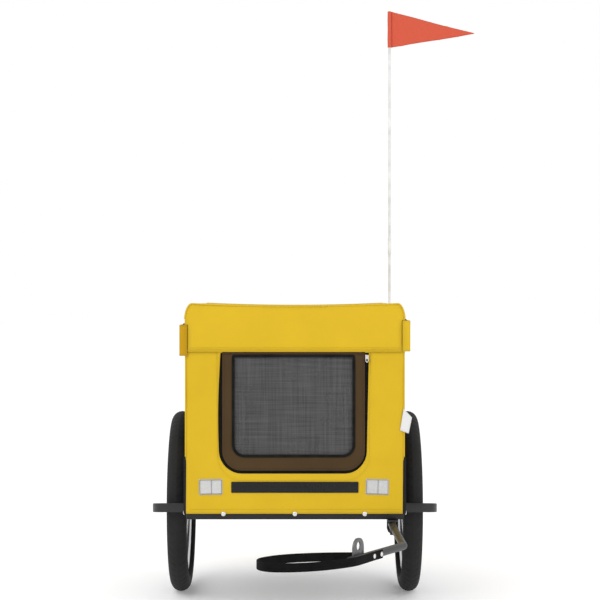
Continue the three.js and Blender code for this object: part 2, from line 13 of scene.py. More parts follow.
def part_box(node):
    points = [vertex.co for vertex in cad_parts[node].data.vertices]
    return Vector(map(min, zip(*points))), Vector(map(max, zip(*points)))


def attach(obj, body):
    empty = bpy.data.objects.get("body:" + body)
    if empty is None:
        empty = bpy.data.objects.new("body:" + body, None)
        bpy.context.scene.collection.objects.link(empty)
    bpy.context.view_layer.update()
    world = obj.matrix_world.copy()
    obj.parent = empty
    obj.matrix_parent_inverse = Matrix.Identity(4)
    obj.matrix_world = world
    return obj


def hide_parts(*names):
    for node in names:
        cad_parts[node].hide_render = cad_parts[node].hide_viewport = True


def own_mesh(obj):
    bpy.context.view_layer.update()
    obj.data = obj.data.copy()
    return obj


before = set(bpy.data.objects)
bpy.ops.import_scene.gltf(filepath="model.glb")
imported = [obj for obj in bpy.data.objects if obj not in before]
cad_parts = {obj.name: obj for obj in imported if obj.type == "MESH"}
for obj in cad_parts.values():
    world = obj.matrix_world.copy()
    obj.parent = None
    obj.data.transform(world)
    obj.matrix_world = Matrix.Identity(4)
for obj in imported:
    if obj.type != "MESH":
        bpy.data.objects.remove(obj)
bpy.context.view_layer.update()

MM = 0.001


def node_centre(node):
    low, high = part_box(node)
    return (Vector(low) + Vector(high)) / 2


def axle_origin():
    left, right = node_centre("tyre_left"), node_centre("tyre_right")
    return Vector(((left.x + right.x) / 2, left.y, 0))


ORIGIN = axle_origin()


def at(x, y, z):
    return ORIGIN + Vector((x, y, z)) * MM


# The drawing's driving sizes, the same as in the CAD
WHEEL_R = 200
WHEEL_X = 252.6
CABIN_HALF_X = 225
CABIN_FRONT = -340
CABIN_REAR = 310
CABIN_BOTTOM = 212
ROOF_Z = 642
ROOF_CORNER_WIDE = 15
ROOF_CORNER_TALL = 36
ROOF_SAG = 5
ROOF_SIDE_Z = 600
CLOTH = 2.5
SKIRT_TOP = 329
SIDE_WALL_FOOT = 226  # behind the lower panel, above the notch that the wheel guard passes through
DOOR_HALF_X = 146
DOOR_X = -2.6  # the door hangs slightly to one side of the middle
DOOR_BOTTOM = 300
DOOR_TOP = 540
DOOR_CORNER_R = 40
MESH_HALF_X = 122.5
MESH_BOTTOM = 331
MESH_CORNER_R = 22
OPENING_MARGIN = 5
FLAP_BOTTOM = 543
FLAP_FRONT = -344
HATCH_FRONT = -290
HATCH_REAR = 120
HATCH_GAP = 4
REAR_WINDOW = (-125, 360, 125, 540)
SIDE_WINDOW = (-205, 352, 175, 530)
WINDOW_CORNER_R = 22
WINDOW_OVERLAP = 8  # how far the mesh reaches behind the cloth round it
LOOP_STRIP = (-130, 255, 130, 277.5)
GUARD_TALL = 19
GUARD_THICK = 8
ARM_Z = 188


# Camera, lights and floor --------------------------------------------------------------------

EYE_DISTANCE = 3865
EYE_HEIGHT = 649
LENS_MM = 103.5
CENTRE_SHIFT = 0.0086


def add_camera():
    data = bpy.data.cameras.new("camera")
    data.lens = LENS_MM
    data.sensor_width = 36
    data.shift_x = CENTRE_SHIFT
    camera = bpy.data.objects.new("camera", data)
    camera.location = at(0, -EYE_DISTANCE, EYE_HEIGHT)
    camera.rotation_euler = (math.radians(90), 0, 0)
    bpy.context.scene.collection.objects.link(camera)
    bpy.context.scene.camera = camera


def add_area_light(name, place, target, size, power):
    data = bpy.data.lights.new(name, "AREA")
    data.energy = power
    data.size = size
    light = bpy.data.objects.new(name, data)
    light.location = at(*place)
    aim = at(*target) - light.location
    light.rotation_euler = aim.to_track_quat("-Z", "Y").to_euler()
    bpy.context.scene.collection.objects.link(light)


def add_stage():
    world = bpy.data.worlds.new("studio")
    world.use_nodes = True
    background = world.node_tree.nodes["Background"]
    background.inputs["Color"].default_value = (1, 1, 1, 1)
    background.inputs["Strength"].default_value = 1.0
    bpy.context.scene.world = world
    add_area_light("key", (-1800, -2600, 2600), (0, 0, 350), 2.4, 38)
    add_area_light("fill", (2200, -2200, 1400), (0, 0, 350), 2.4, 16)
    mesh = bpy.data.meshes.new("floor")
    reach = 40
    corners = [(-reach, -reach, 0), (reach, -reach, 0), (reach, reach, 0), (-reach, reach, 0)]
    mesh.from_pydata(corners, [], [(0, 1, 2, 3)])
    floor = bpy.data.objects.new("floor", mesh)
    bpy.context.scene.collection.objects.link(floor)
    paint = bpy.data.materials.new("floor_paint")
    paint.use_nodes = True
    shader = paint.node_tree.nodes["Principled BSDF"]
    shader.inputs["Base Color"].default_value = (0.9, 0.9, 0.9, 1)
    shader.inputs["Roughness"].default_value = 0.95
    shader.inputs["Emission Color"].default_value = (1, 1, 1, 1)
    shader.inputs["Emission Strength"].default_value = 0.16
    mesh.materials.append(paint)


bpy.context.scene.view_settings.view_transform = "Standard"
add_camera()
add_stage()


# Materials -----------------------------------------------------------------------------------

class Paint:
    """A procedural material: a colour that varies, and bumps that add up."""

    def __init__(self, name, roughness, **sockets):
        self.material = bpy.data.materials.new(name)
        self.material.use_nodes = True
        self.tree = self.material.node_tree
        self.shader = self.tree.nodes["Principled BSDF"]
        self.shader.inputs["Roughness"].default_value = roughness
        for socket, value in sockets.items():
            self.shader.inputs[socket.replace("_", " ")].default_value = value
        self.place = self.tree.nodes.new("ShaderNodeTexCoord").outputs["Object"]
        self.normal = None

    def node(self, kind, **values):
        made = self.tree.nodes.new(kind)
        for key, value in values.items():
            setattr(made, key, value)
        return made

    def link(self, output, target):
        self.tree.links.new(output, target)

    def noise(self, scale, detail=3, stretch=(1, 1, 1)):
        mapping = self.node("ShaderNodeMapping")
        mapping.inputs["Scale"].default_value = stretch
        self.link(self.place, mapping.inputs["Vector"])
        made = self.node("ShaderNodeTexNoise")
        made.inputs["Scale"].default_value = scale
        made.inputs["Detail"].default_value = detail
        self.link(mapping.outputs[0], made.inputs["Vector"])
        return made.outputs["Fac"]

    def maths(self, operation, first, second=None):
        made = self.node("ShaderNodeMath", operation=operation)
        for socket, value in zip(made.inputs, (first, second)):
            if value is None:
                continue
            if isinstance(value, (int, float)):
                socket.default_value = value
            else:
                self.link(value, socket)
        return made.outputs[0]

    def waves(self, pitch):
        """Sines along the three axes, pitch metres apart, for threads."""
        split = self.node("ShaderNodeSeparateXYZ")
        self.link(self.place, split.inputs[0])
        turn = 2 * math.pi / pitch
        return [self.maths("SINE", self.maths("MULTIPLY", axis, turn)) for axis in split.outputs]

    def weave(self, pitch):
        x, y, z = self.waves(pitch)
        return self.maths("ADD", self.maths("ADD", x, y), z)

    def ramp(self, factor, stops):
        made = self.node("ShaderNodeValToRGB")
        ramp = made.color_ramp
        while len(ramp.elements) < len(stops):
            ramp.elements.new(0.5)
        for element, (position, colour) in zip(ramp.elements, stops):
            element.position = position
            element.color = (*colour, 1)
        self.link(factor, made.inputs["Fac"])
        return made.outputs["Color"]

    def colour(self, factor, dark, light, low=0.3, high=0.7):
        self.link(self.ramp(factor, [(low, dark), (high, light)]), self.shader.inputs["Base Color"])

    def rough(self, factor, low, high):
        spread = self.node("ShaderNodeMapRange")
        spread.inputs["To Min"].default_value = low
        spread.inputs["To Max"].default_value = high
        self.link(factor, spread.inputs["Value"])
        self.link(spread.outputs[0], self.shader.inputs["Roughness"])

    def bump(self, height, strength, distance):
        made = self.node("ShaderNodeBump")
        made.inputs["Strength"].default_value = strength
        made.inputs["Distance"].default_value = distance
        self.link(height, made.inputs["Height"])
        if self.normal:
            self.link(self.normal, made.inputs["Normal"])
        self.normal = made.outputs["Normal"]
        self.link(self.normal, self.shader.inputs["Normal"])


def shade(colour, factor):
    return tuple(min(1.0, channel * factor) for channel in colour)


def woven(name, colour, pitch=0.0011, sheen=0.08, roughness=0.9, contrast=0.06):
    """Plain woven cloth: fine threads, soft wrinkles, slightly uneven dye."""
    paint = Paint(name, roughness, Sheen_Weight=sheen, Sheen_Roughness=0.5, Specular_IOR_Level=0.12)
    dye = paint.noise(9, 5)
    threads = paint.weave(pitch)
    mixed = paint.maths("ADD", dye, paint.maths("MULTIPLY", threads, 0.025))
    paint.colour(mixed, shade(colour, 1 - contrast), shade(colour, 1 + contrast))
    paint.bump(paint.noise(22, 3), 0.25, 0.002)
    paint.bump(threads, 0.35, pitch * 0.12)
    return paint.material


def net(name, thread, gap, pitch=0.0021):
    """Open mesh cloth: threads with see-through holes between them, and faint uneven slubs."""
    paint = Paint(name, 0.8, Specular_IOR_Level=0.15)
    x, y, z = paint.waves(pitch)
    lattice = paint.maths("MAXIMUM", paint.maths("MAXIMUM", x, y), z)
    coarse_x, coarse_y, coarse_z = paint.waves(pitch * 1.6)
    coarse = paint.maths("MAXIMUM", paint.maths("MAXIMUM", coarse_x, coarse_y), coarse_z)
    slubs = paint.maths(
        "ADD", paint.noise(330, 2, (1, 1, 0.03)), paint.noise(330, 2, (0.03, 0.03, 1)),
    )
    tone = paint.maths("ADD", paint.maths("MULTIPLY", coarse, 0.07), paint.maths("MULTIPLY", slubs, 0.5))
    paint.colour(tone, gap, thread, 0.36, 0.74)
    holes = paint.maths("GREATER_THAN", lattice, -0.4)
    paint.link(paint.maths("MAXIMUM", holes, 0.6), paint.shader.inputs["Alpha"])
    paint.bump(lattice, 0.3, 0.0002)
    return paint.material


def webbing(name, colour):
    """Flat woven strap: close ribs across it."""
    paint = Paint(name, 0.8, Specular_IOR_Level=0.08)
    ribs = paint.weave(0.0016)
    paint.colour(paint.noise(60, 4), shade(colour, 0.7), shade(colour, 1.5))
    paint.bump(ribs, 0.6, 0.0004)
    return paint.material


def powder_coat(name, colour, roughness=0.42):
    paint = Paint(name, roughness, Specular_IOR_Level=0.3)
    paint.colour(paint.noise(40, 5), shade(colour, 0.85), shade(colour, 1.2))
    paint.rough(paint.noise(160, 3), roughness - 0.06, roughness + 0.1)
    paint.bump(paint.noise(900, 2), 0.12, 0.0002)
    return paint.material


def brushed(name, colour, roughness, stretch=(1, 12, 12), metallic=1.0):
    paint = Paint(name, roughness, Metallic=metallic)
    grain = paint.noise(220, 4, stretch)
    paint.colour(grain, shade(colour, 0.82), shade(colour, 1.12))
    paint.rough(grain, roughness - 0.08, roughness + 0.12)
    paint.bump(grain, 0.08, 0.0002)
    return paint.material


def moulded(name, colour, roughness=0.5):
    paint = Paint(name, roughness, Specular_IOR_Level=0.45)
    paint.colour(paint.noise(30, 4), shade(colour, 0.85), shade(colour, 1.2))
    paint.bump(paint.noise(1400, 2), 0.2, 0.00025)
    return paint.material


def rubber(name, colour):
    paint = Paint(name, 0.8, Specular_IOR_Level=0.25)
    dust = paint.noise(14, 6)
    paint.colour(dust, shade(colour, 0.75), shade(colour, 1.35))
    paint.rough(dust, 0.66, 0.88)
    paint.bump(paint.noise(700, 3), 0.25, 0.0003)
    return paint.material


def prismatic(name, colour):
    """Reflective tape: a bright film over tiny cells."""
    paint = Paint(name, 0.28, Metallic=0.35, Coat_Weight=0.4, Coat_Roughness=0.15)
    cells = paint.node("ShaderNodeTexVoronoi")
    cells.inputs["Scale"].default_value = 420
    paint.link(paint.place, cells.inputs["Vector"])
    paint.colour(cells.outputs["Distance"], shade(colour, 0.9), shade(colour, 1.1), 0.1, 0.6)
    paint.bump(cells.outputs["Distance"], 0.25, 0.0003)
    paint.bump(paint.noise(60, 2), 0.25, 0.0012)
    return paint.material


def looped(name, colour):
    """The loop half of a hook-and-loop strip: fuzz in fine rows."""
    paint = Paint(name, 0.95, Sheen_Weight=0.12, Specular_IOR_Level=0.1)
    rows = paint.weave(0.0032)
    fuzz = paint.noise(900, 4)
    paint.colour(paint.maths("ADD", fuzz, paint.maths("MULTIPLY", rows, 0.05)),
                 shade(colour, 0.6), shade(colour, 1.5))
    paint.bump(fuzz, 0.7, 0.001)
    paint.bump(rows, 0.4, 0.0006)
    return paint.material


YELLOW_DYE = (0.57, 0.375, 0.0165)
# Painted shade: this darker yellow stands in for the shade on the front lap of the -X side curtain's ear;
# the cloth there is the same yellow dye as elsewhere.
PAINTED_SHADE_DYE = (0.455, 0.255, 0.006)
M = {
    "yellow": woven("yellow_cloth", YELLOW_DYE, contrast=0.035),
    "yellow_painted_shade": woven("yellow_painted_shade_cloth", PAINTED_SHADE_DYE, contrast=0.05),
    "yellow_thread": woven("yellow_thread", shade(YELLOW_DYE, 0.8), pitch=0.0006),
    "lining": woven("grey_lining", (0.055, 0.055, 0.056)),
    "black_cloth": woven("black_cloth", (0.014, 0.0145, 0.015), contrast=0.15),
    "brown_cloth": woven("brown_cloth", (0.058, 0.034, 0.0135), contrast=0.1),
    "mesh": net("mesh_cloth", (0.085, 0.085, 0.085), (0.042, 0.042, 0.042)),
    "piping": webbing("black_piping", (0.009, 0.009, 0.009)),
    "webbing": webbing("strap_webbing", (0.0045, 0.0045, 0.0045)),
    "black_metal": powder_coat("black_powder_coat", (0.016, 0.0163, 0.0163)),
    "rail_coat": powder_coat("rail_powder_coat", (0.009, 0.0092, 0.0092), 0.5),
    "guard_coat": powder_coat("guard_powder_coat", (0.021, 0.0212, 0.0215), 0.3),
    "grey_metal": brushed("grey_steel", (0.08, 0.08, 0.082), 0.45),
    "plate_metal": brushed("plate_steel", (0.15, 0.15, 0.152), 0.42),
    "tyre": rubber("tyre_rubber", (0.0125, 0.0125, 0.0125)),
    "alloy": brushed("wheel_alloy", (0.62, 0.62, 0.63), 0.3),
    "steel": brushed("zinc_steel", (0.68, 0.67, 0.65), 0.26),
    "black_plastic": moulded("black_plastic", (0.01, 0.01, 0.01)),
    "board": moulded("floor_board_plastic", (0.04, 0.036, 0.032), 0.7),
    "white_plastic": moulded("white_fibreglass", (0.62, 0.62, 0.615), 0.35),
    "flag": woven("pennant_cloth", (0.55, 0.09, 0.051), contrast=0.04),
    "reflective": prismatic("reflective_tape", (0.47, 0.47, 0.465)),
    "loop": looped("loop_strip", (0.019, 0.019, 0.0185)),
    "tag": woven("blank_tag", (0.66, 0.66, 0.65), pitch=0.0005),
    "grey_thread": woven("grey_thread", (0.2, 0.2, 0.2), pitch=0.0006),
}


# Making pieces -------------------------------------------------------------------------------

def new_object(name, vertices, faces, materials, smooth=45):
    """An object from drawing-frame points, shaded smooth up to that angle in degrees."""
    mesh = bpy.data.meshes.new(name)
    mesh.from_pydata([at(*v) for v in vertices], [], faces)
    for material in materials:
        mesh.materials.append(M[material])
    made = bpy.data.objects.new(name, mesh)
    bpy.context.scene.collection.objects.link(made)
    mesh.validate()
    tidy = bmesh.new()
    tidy.from_mesh(mesh)
    bmesh.ops.remove_doubles(tidy, verts=tidy.verts, dist=1e-6)
    tidy.to_mesh(mesh)
    tidy.free()
    smooth_by_angle(made, smooth)
    return made


def smooth_by_angle(made, degrees):
    made.data.shade_smooth()
    made.data.set_sharp_from_angle(angle=math.radians(degrees))


def face_outward(made):
    work = bmesh.new()
    work.from_mesh(made.data)
    bmesh.ops.recalc_face_normals(work, faces=work.faces)
    work.to_mesh(made.data)
    work.free()


def apply_modifiers(made):
    graph = bpy.context.evaluated_depsgraph_get()
    graph.update()
    mesh = bpy.data.meshes.new_from_object(made.evaluated_get(graph))
    made.modifiers.clear()
    made.data = mesh


def bevelled(made, width, segments=2, angle=30):
    modifier = made.modifiers.new("bevel", "BEVEL")
    modifier.width = width * MM
    modifier.segments = segments
    modifier.limit_method = "ANGLE"
    modifier.angle_limit = math.radians(angle)
    apply_modifiers(made)
    smooth_by_angle(made, 50)
    return made


def merge(name, parts):
    """One object from several, with their materials kept."""
    with bpy.context.temp_override(
        active_object=parts[0], selected_editable_objects=parts, selected_objects=parts,
    ):
        bpy.ops.object.join()
    parts[0].name = name
    return parts[0]


def rigid(made, body, slot, *nodes):
    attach(made, body)
    if nodes:
        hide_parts(*nodes)
    return made


FOLD_UP = (0, 0, 1)


def fabric(made, body, slot, *nodes, axis=FOLD_UP, anchor=(0, 0, CABIN_BOTTOM)):
    """Cabin fabric rides its body, on its own copy of its mesh."""
    rigid(made, body, slot, *nodes)
    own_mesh(made)
    return made


def refined(node, material, body, slot, bevel=0.6):
    """A CAD solid with its flat triangles merged and its edges rounded."""
    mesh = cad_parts[node].data.copy()
    mesh.materials.clear()
    mesh.materials.append(M[material])
    made = bpy.data.objects.new(node + "_finished", mesh)
    bpy.context.scene.collection.objects.link(made)
    work = bmesh.new()
    work.from_mesh(mesh)
    bmesh.ops.remove_doubles(work, verts=work.verts, dist=1e-6)
    bmesh.ops.dissolve_limit(work, angle_limit=math.radians(1), verts=work.verts, edges=work.edges)
    for face in work.faces:
        face.material_index = 0
    work.to_mesh(mesh)
    work.free()
    bevelled(made, bevel)
    return rigid(made, body, slot, node)


# Outlines, sweeps and lathes, all in millimetres ---------------------------------------------

def arc(cx, cy, radius, start, end, steps=8):
    return [
        (cx + radius * math.cos(math.radians(start + (end - start) * i / steps)),
         cy + radius * math.sin(math.radians(start + (end - start) * i / steps)))
        for i in range(steps + 1)
    ]


def rounded_rect(x0, y0, x1, y1, bottom_r, top_r=None):
    """Anticlockwise outline whose lower and upper corners have their own radii."""
    top_r = bottom_r if top_r is None else top_r
    outline = []
    for cx, cy, r, start in (
        (x1 - bottom_r, y0 + bottom_r, bottom_r, -90), (x1 - top_r, y1 - top_r, top_r, 0),
        (x0 + top_r, y1 - top_r, top_r, 90), (x0 + bottom_r, y0 + bottom_r, bottom_r, 180),
    ):
        outline += arc(cx, cy, r, start, start + 90) if r > 0 else [(cx, cy)]
    return outline


def resampled(loop, step, closed=True):
    """The same line with points no more than step apart."""
    points = []
    ends = loop[1:] + loop[:1] if closed else loop[1:]
    for a, b in zip(loop, ends):
        a, b = Vector(a), Vector(b)
        count = max(1, math.ceil((b - a).length / step))
        points += [tuple(a.lerp(b, i / count)) for i in range(count)]
    if not closed:
        points.append(tuple(loop[-1]))
    return points


def spaced(points, pitch):
    """Points a whole pitch apart along a line of 3-D points, with the direction at each."""
    points = [Vector(p) for p in points]
    found, travelled, wanted = [], 0.0, pitch / 2
    for a, b in zip(points, points[1:]):
        length = (b - a).length
        while wanted <= travelled + length and length > 0:
            found.append((a.lerp(b, (wanted - travelled) / length), (b - a) / length))
            wanted += pitch
        travelled += length
    return found


def inside(point, loop):
    x, y = point
    hit = False
    for (x0, y0), (x1, y1) in zip(loop, loop[1:] + loop[:1]):
        if (y0 > y) != (y1 > y) and x < (x1 - x0) * (y - y0) / (y1 - y0) + x0:
            hit = not hit
    return hit


def near(point, loop, distance):
    return any(abs(p[0] - point[0]) < distance and abs(p[1] - point[1]) < distance for p in loop)


def flat_mesh(outer, holes, step):
    """Triangles over an outline with holes, with corners about step apart."""
    loops = [resampled(loop, step) for loop in [outer] + holes]
    points, edges = [], []
    for loop in loops:
        first = len(points)
        points += loop
        edges += [(first + i, first + (i + 1) % len(loop)) for i in range(len(loop))]
    xs, ys = [p[0] for p in outer], [p[1] for p in outer]
    columns = int((max(xs) - min(xs)) / step)
    rows = int((max(ys) - min(ys)) / step)
    border = list(points)
    for i in range(columns + 1):
        for j in range(rows + 1):
            point = (min(xs) + i * step, min(ys) + j * step)
            if near(point, border, step * 0.5) or not inside(point, loops[0]):
                continue
            if not any(inside(point, hole) for hole in loops[1:]):
                points.append(point)
    result = geometry.delaunay_2d_cdt([Vector(p) for p in points], edges, [], 0, 1e-4)
    found, faces = [tuple(v) for v in result[0]], []
    for face in result[2]:
        middle = tuple(sum(found[i][k] for i in face) / len(face) for k in (0, 1))
        if inside(middle, outer) and not any(inside(middle, hole) for hole in holes):
            faces.append(tuple(face))
    return found, faces


def ripple(point, seed, size=0.011):
    """Soft unevenness of hanging cloth, about -1 to 1."""
    p = Vector(point) * size
    broad = noise.noise(p + Vector((seed, 0, 0)))
    fine = noise.noise(p * 2.7 + Vector((0, seed, 0)))
    return broad + 0.35 * fine


def lifted(spot, facing, wave, seed):
    """The point moved in or out by the cloth's own unevenness."""
    return spot + facing * (wave * (ripple(spot, seed) - 0.6))


def panel(name, outer, holes, place, outward, materials, thickness=1.4, step=9, wave=0.8, seed=1,
          above=0.0, extra=None):
    """A sheet cut to a flat outline and put in place, its thickness inward from its face.

    place(u, v) is the point of the outer face and outward(u, v) the direction it faces; above
    lifts a piece sewn on another by that much over the other's unevenness, and extra(u, v) is
    any shape of its own, also in millimetres outward."""
    points, faces = flat_mesh(outer, holes, step)
    vertices = []
    for u, v in points:
        facing = Vector(outward(u, v) if callable(outward) else outward)
        rise = above + (extra(u, v) if extra else 0)
        vertices.append(lifted(Vector(place(u, v)), facing, wave, seed) + facing * rise)
    made = new_object(name, vertices, faces, materials, smooth=60)
    solid = made.modifiers.new("thickness", "SOLIDIFY")
    solid.thickness = thickness * MM
    solid.offset = -1
    solid.material_offset = 1
    apply_modifiers(made)
    return made


def cloth(name, outer, holes, place, outward, materials, body, slot, *nodes, held="stretched",
          **shape):
    """A panel of the cabin's fabric, made from the flat outline it is cut to and carried by its body."""
    made = panel(name, outer, holes, place, outward, materials, **shape)
    fabric(made, body, slot, *nodes)
    return made


def swept(points, section, up, closed=False):
    """A section carried along points; its first axis is sideways and its second is up."""
    points = [Vector(p) for p in points]
    count, size = len(points), len(section)
    vertices, faces = [], []
    for i, point in enumerate(points):
        before = points[i - 1] if closed or i else point
        after = points[(i + 1) % count] if closed or i < count - 1 else point
        along = (after - before).normalized()
        side = along.cross(Vector(up)).normalized()
        rise = side.cross(along)
        vertices += [point + side * a + rise * b for a, b in section]
    for i in range(count if closed else count - 1):
        here, there = i * size, ((i + 1) % count) * size
        for j in range(size):
            k = (j + 1) % size
            faces.append((here + j, here + k, there + k, there + j))
    if not closed:
        faces.append(tuple(reversed(range(size))))
        faces.append(tuple(range((count - 1) * size, count * size)))
    return vertices, faces


def round_section(radius, sides=20):
    return [
        (radius * math.cos(math.tau * i / sides), radius * math.sin(math.tau * i / sides))
        for i in range(sides)
    ]


def sweep_object(name, points, section, up, material, closed=False, smooth=45):
    made = new_object(name, *swept(points, section, up, closed), [material], smooth)
    face_outward(made)
    return made


def bent(points, radius, steps=10):
    """Straight runs joined by round bends."""
    points = [Vector(p) for p in points]
    line = [points[0]]
    for before, corner, after in zip(points, points[1:], points[2:]):
        back, on = (before - corner).normalized(), (after - corner).normalized()
        angle = back.angle(on)
        centre = corner + (back + on).normalized() * (radius / math.sin(angle / 2))
        first = corner + back * (radius / math.tan(angle / 2))
        last = corner + on * (radius / math.tan(angle / 2))
        for i in range(steps + 1):
            spoke = (first - centre).normalized().slerp((last - centre).normalized(), i / steps)
            line.append(centre + spoke * radius)
    line.append(points[-1])
    return line


def lathed(profile, segments, centre, axis="x"):
    """A closed profile of (radius, offset along the axis) turned round that axis."""
    vertices, faces = [], []
    size = len(profile)
    for i in range(segments):
        angle = math.tau * i / segments
        c, s = math.cos(angle), math.sin(angle)
        for r, w in profile:
            spot = {"x": (w, r * c, r * s), "y": (r * s, w, r * c), "z": (r * c, r * s, w)}[axis]
            vertices.append(tuple(a + b for a, b in zip(centre, spot)))
        here, there = i * size, ((i + 1) % segments) * size
        faces += [
            (here + j, there + j, there + (j + 1) % size, here + (j + 1) % size)
            for j in range(size)
        ]
    return vertices, faces


def lathe_object(name, profile, segments, centre, axis, material, smooth=40):
    made = new_object(name, *lathed(profile, segments, centre, axis), [material], smooth)
    face_outward(made)
    return made


def dome(radius, height, axis_offset, towards=-1):
    """Half profile of a snap stud or rivet head that stands on its back plane."""
    top = [(radius * math.cos(math.radians(a)), axis_offset + towards * height * math.sin(math.radians(a)))
           for a in range(0, 91, 10)]
    return [(0.01, axis_offset)] + top[:-1] + [(0.01, axis_offset + towards * height)]


def beads(name, spots, size, material):
    """Many small rounded lozenges, each (point, direction along, direction outward)."""
    length, width, height = size
    vertices, faces = [], []
    for point, along, outward in spots:
        side = along.cross(outward).normalized()
        first = len(vertices)
        for end in (-1, 1):
            middle = point + along * (end * length * 0.3)
            vertices += [
                middle + side * width / 2, middle + outward * height / 2,
                middle - side * width / 2, middle - outward * height / 2,
            ]
        vertices += [point - along * length / 2, point + along * length / 2]
        for j in range(4):
            k = (j + 1) % 4
            faces.append((first + j, first + k, first + 4 + k, first + 4 + j))
            faces.append((first + 8, first + k, first + j))
            faces.append((first + 9, first + 4 + j, first + 4 + k))
    made = new_object(name, vertices, faces, [material], smooth=80)
    face_outward(made)
    return made


def stitches(name, line, outward, body, slot="yellow", material="yellow_thread", pitch=4.2):
    """A row of stitches along a line of points on a fabric face."""
    spots = [(point, along, Vector(outward)) for point, along in spaced(line, pitch)]
    made = beads(name, spots, (3.2, 0.7, 0.7), material)
    return fabric(made, body, slot)


# The cabin's fabric --------------------------------------------------------------------------

FRONT = (0, -1, 0)
REAR = (0, 1, 0)
WALL_WAVE = 1.1
WALL_SEED = 3


def front_at(y):
    return lambda u, v: (u, y, v)


def offset_path(loop, y):
    return [(x, y, z) for x, z in loop]


def roof_profile():
    """Cross-section of the roof's face, from its -X lower edge over to its +X one."""
    side, top = CABIN_HALF_X - ROOF_CORNER_WIDE, ROOF_Z - ROOF_CORNER_TALL
    corner = [(ROOF_CORNER_WIDE * math.sin(a), ROOF_CORNER_TALL * math.cos(a))
              for a in (math.pi / 2 * i / 12 for i in range(13))]
    line = [(-CABIN_HALF_X, ROOF_SIDE_Z)]
    line += [(-side - x, top + z) for x, z in reversed(corner)]
    for i in range(1, 40):
        t = i / 40
        line.append((-side + 2 * side * t, ROOF_Z - 4 * ROOF_SAG * t * (1 - t)))
    line += [(side + x, top + z) for x, z in corner]
    line.append((CABIN_HALF_X, ROOF_SIDE_Z))
    return line


ROOF_LINE = roof_profile()
ROOF_STEPS = [math.dist(a, b) for a, b in zip(ROOF_LINE, ROOF_LINE[1:])]
ROOF_WIDTH = sum(ROOF_STEPS)


def on_roof(s):
    """Point (x, z) of the roof's face at arc length s, and the direction it faces."""
    s = min(max(s, 0), ROOF_WIDTH)
    for a, b, length in zip(ROOF_LINE, ROOF_LINE[1:], ROOF_STEPS):
        if s <= length + 1e-6:
            t = s / length
            x, z = a[0] + (b[0] - a[0]) * t, a[1] + (b[1] - a[1]) * t
            return (x, z), ((a[1] - b[1]) / length, (b[0] - a[0]) / length)
        s -= length
    return ROOF_LINE[-1], (1, 0)


def roof_place(u, v):
    x, z = on_roof(u + ROOF_WIDTH / 2)[0]
    return x, v, z


def roof_facing(u, v):
    dx, dz = on_roof(u + ROOF_WIDTH / 2)[1]
    return dx, 0, dz


def add_roof():
    front = CABIN_FRONT - 1.2
    half = ROOF_WIDTH / 2
    hole_half_x = DOOR_HALF_X + HATCH_GAP
    hatch_hole = rounded_rect(-hole_half_x, HATCH_FRONT - HATCH_GAP, hole_half_x,
                              HATCH_REAR + HATCH_GAP, 20)
    cloth("roof_cover_cloth", rounded_rect(-half, front, half, CABIN_REAR, 0), [hatch_hole], roof_place,
          roof_facing, ["yellow", "lining"], "chassis", "yellow", "roof_cover", thickness=1.6,
          wave=1.0, seed=5)
    tape_half_x = DOOR_HALF_X + 12
    tape_out = rounded_rect(-tape_half_x, HATCH_FRONT - 12, tape_half_x, HATCH_REAR + 12, 26)
    tape_half_x = DOOR_HALF_X - 6
    tape_in = rounded_rect(-tape_half_x, HATCH_FRONT + 6, tape_half_x, HATCH_REAR - 6, 12)
    tape = panel("hatch_zip_tape", tape_out, [tape_in], roof_place, roof_facing, ["piping", "piping"],
                 thickness=0.8, wave=1.0, seed=5, above=-2.0)
    fabric(tape, "chassis", "black_cloth")
    cloth("roof_hatch_cloth", rounded_rect(-DOOR_HALF_X, HATCH_FRONT, DOOR_HALF_X, HATCH_REAR, 18), [],
          roof_place, roof_facing, ["yellow", "lining"], "hatch", "yellow", "roof_hatch",
          thickness=1.6, wave=1.0, seed=5)
    for inset in (6, 9):
        loop = rounded_rect(-DOOR_HALF_X + inset, HATCH_FRONT + inset, DOOR_HALF_X - inset,
                            HATCH_REAR - inset, 14)
        line = [lifted(Vector(roof_place(u, v)), Vector(roof_facing(u, v)), 1.0, 5)
                for u, v in resampled(loop, 8)]
        stitches(f"hatch_stitches_{inset}", line, (0, 0, 1), "hatch")
    for side, sign in (("left", 1), ("right", -1)):
        for rise in (4, 8):
            line = [(sign * (CABIN_HALF_X + 0.2), y, ROOF_SIDE_Z + rise) for y in range(-336, 308, 8)]
            stitches(f"roof_edge_stitches_{side}_{rise}", line, (sign, 0, 0), "chassis")


def lower_taper(x, z):
    """How far the front wall's edge draws in below the top of the lower side panels."""
    if z >= SKIRT_TOP or abs(x) < 200:
        return x
    drop = (SKIRT_TOP - z) / (SKIRT_TOP - CABIN_BOTTOM)
    pull = 2.6 + drop if x > 0 else 2 - 0.6 * drop
    return x - math.copysign(pull, x)


def door_opening():
    """The hole in the front wall, slack at one side, where the zip's tape shows."""
    margin = OPENING_MARGIN
    hole = rounded_rect(-DOOR_HALF_X - margin, DOOR_BOTTOM - margin - 1, DOOR_HALF_X + margin,
                        DOOR_TOP + 1, DOOR_CORNER_R + margin, 0)
    slack = []
    for x, z in resampled(hole, 12):
        rise = min(max((z - DOOR_BOTTOM) / (DOOR_TOP - DOOR_BOTTOM), 0), 1)
        left, right = 4.0 * math.sin(math.pi * rise) - 1.5 * rise, 5 * rise - 2
        share = min(1, max(0, (abs(x) - 100) / 40))
        slack.append((x + DOOR_X + share * (right if x > 0 else -left), z))
    return slack


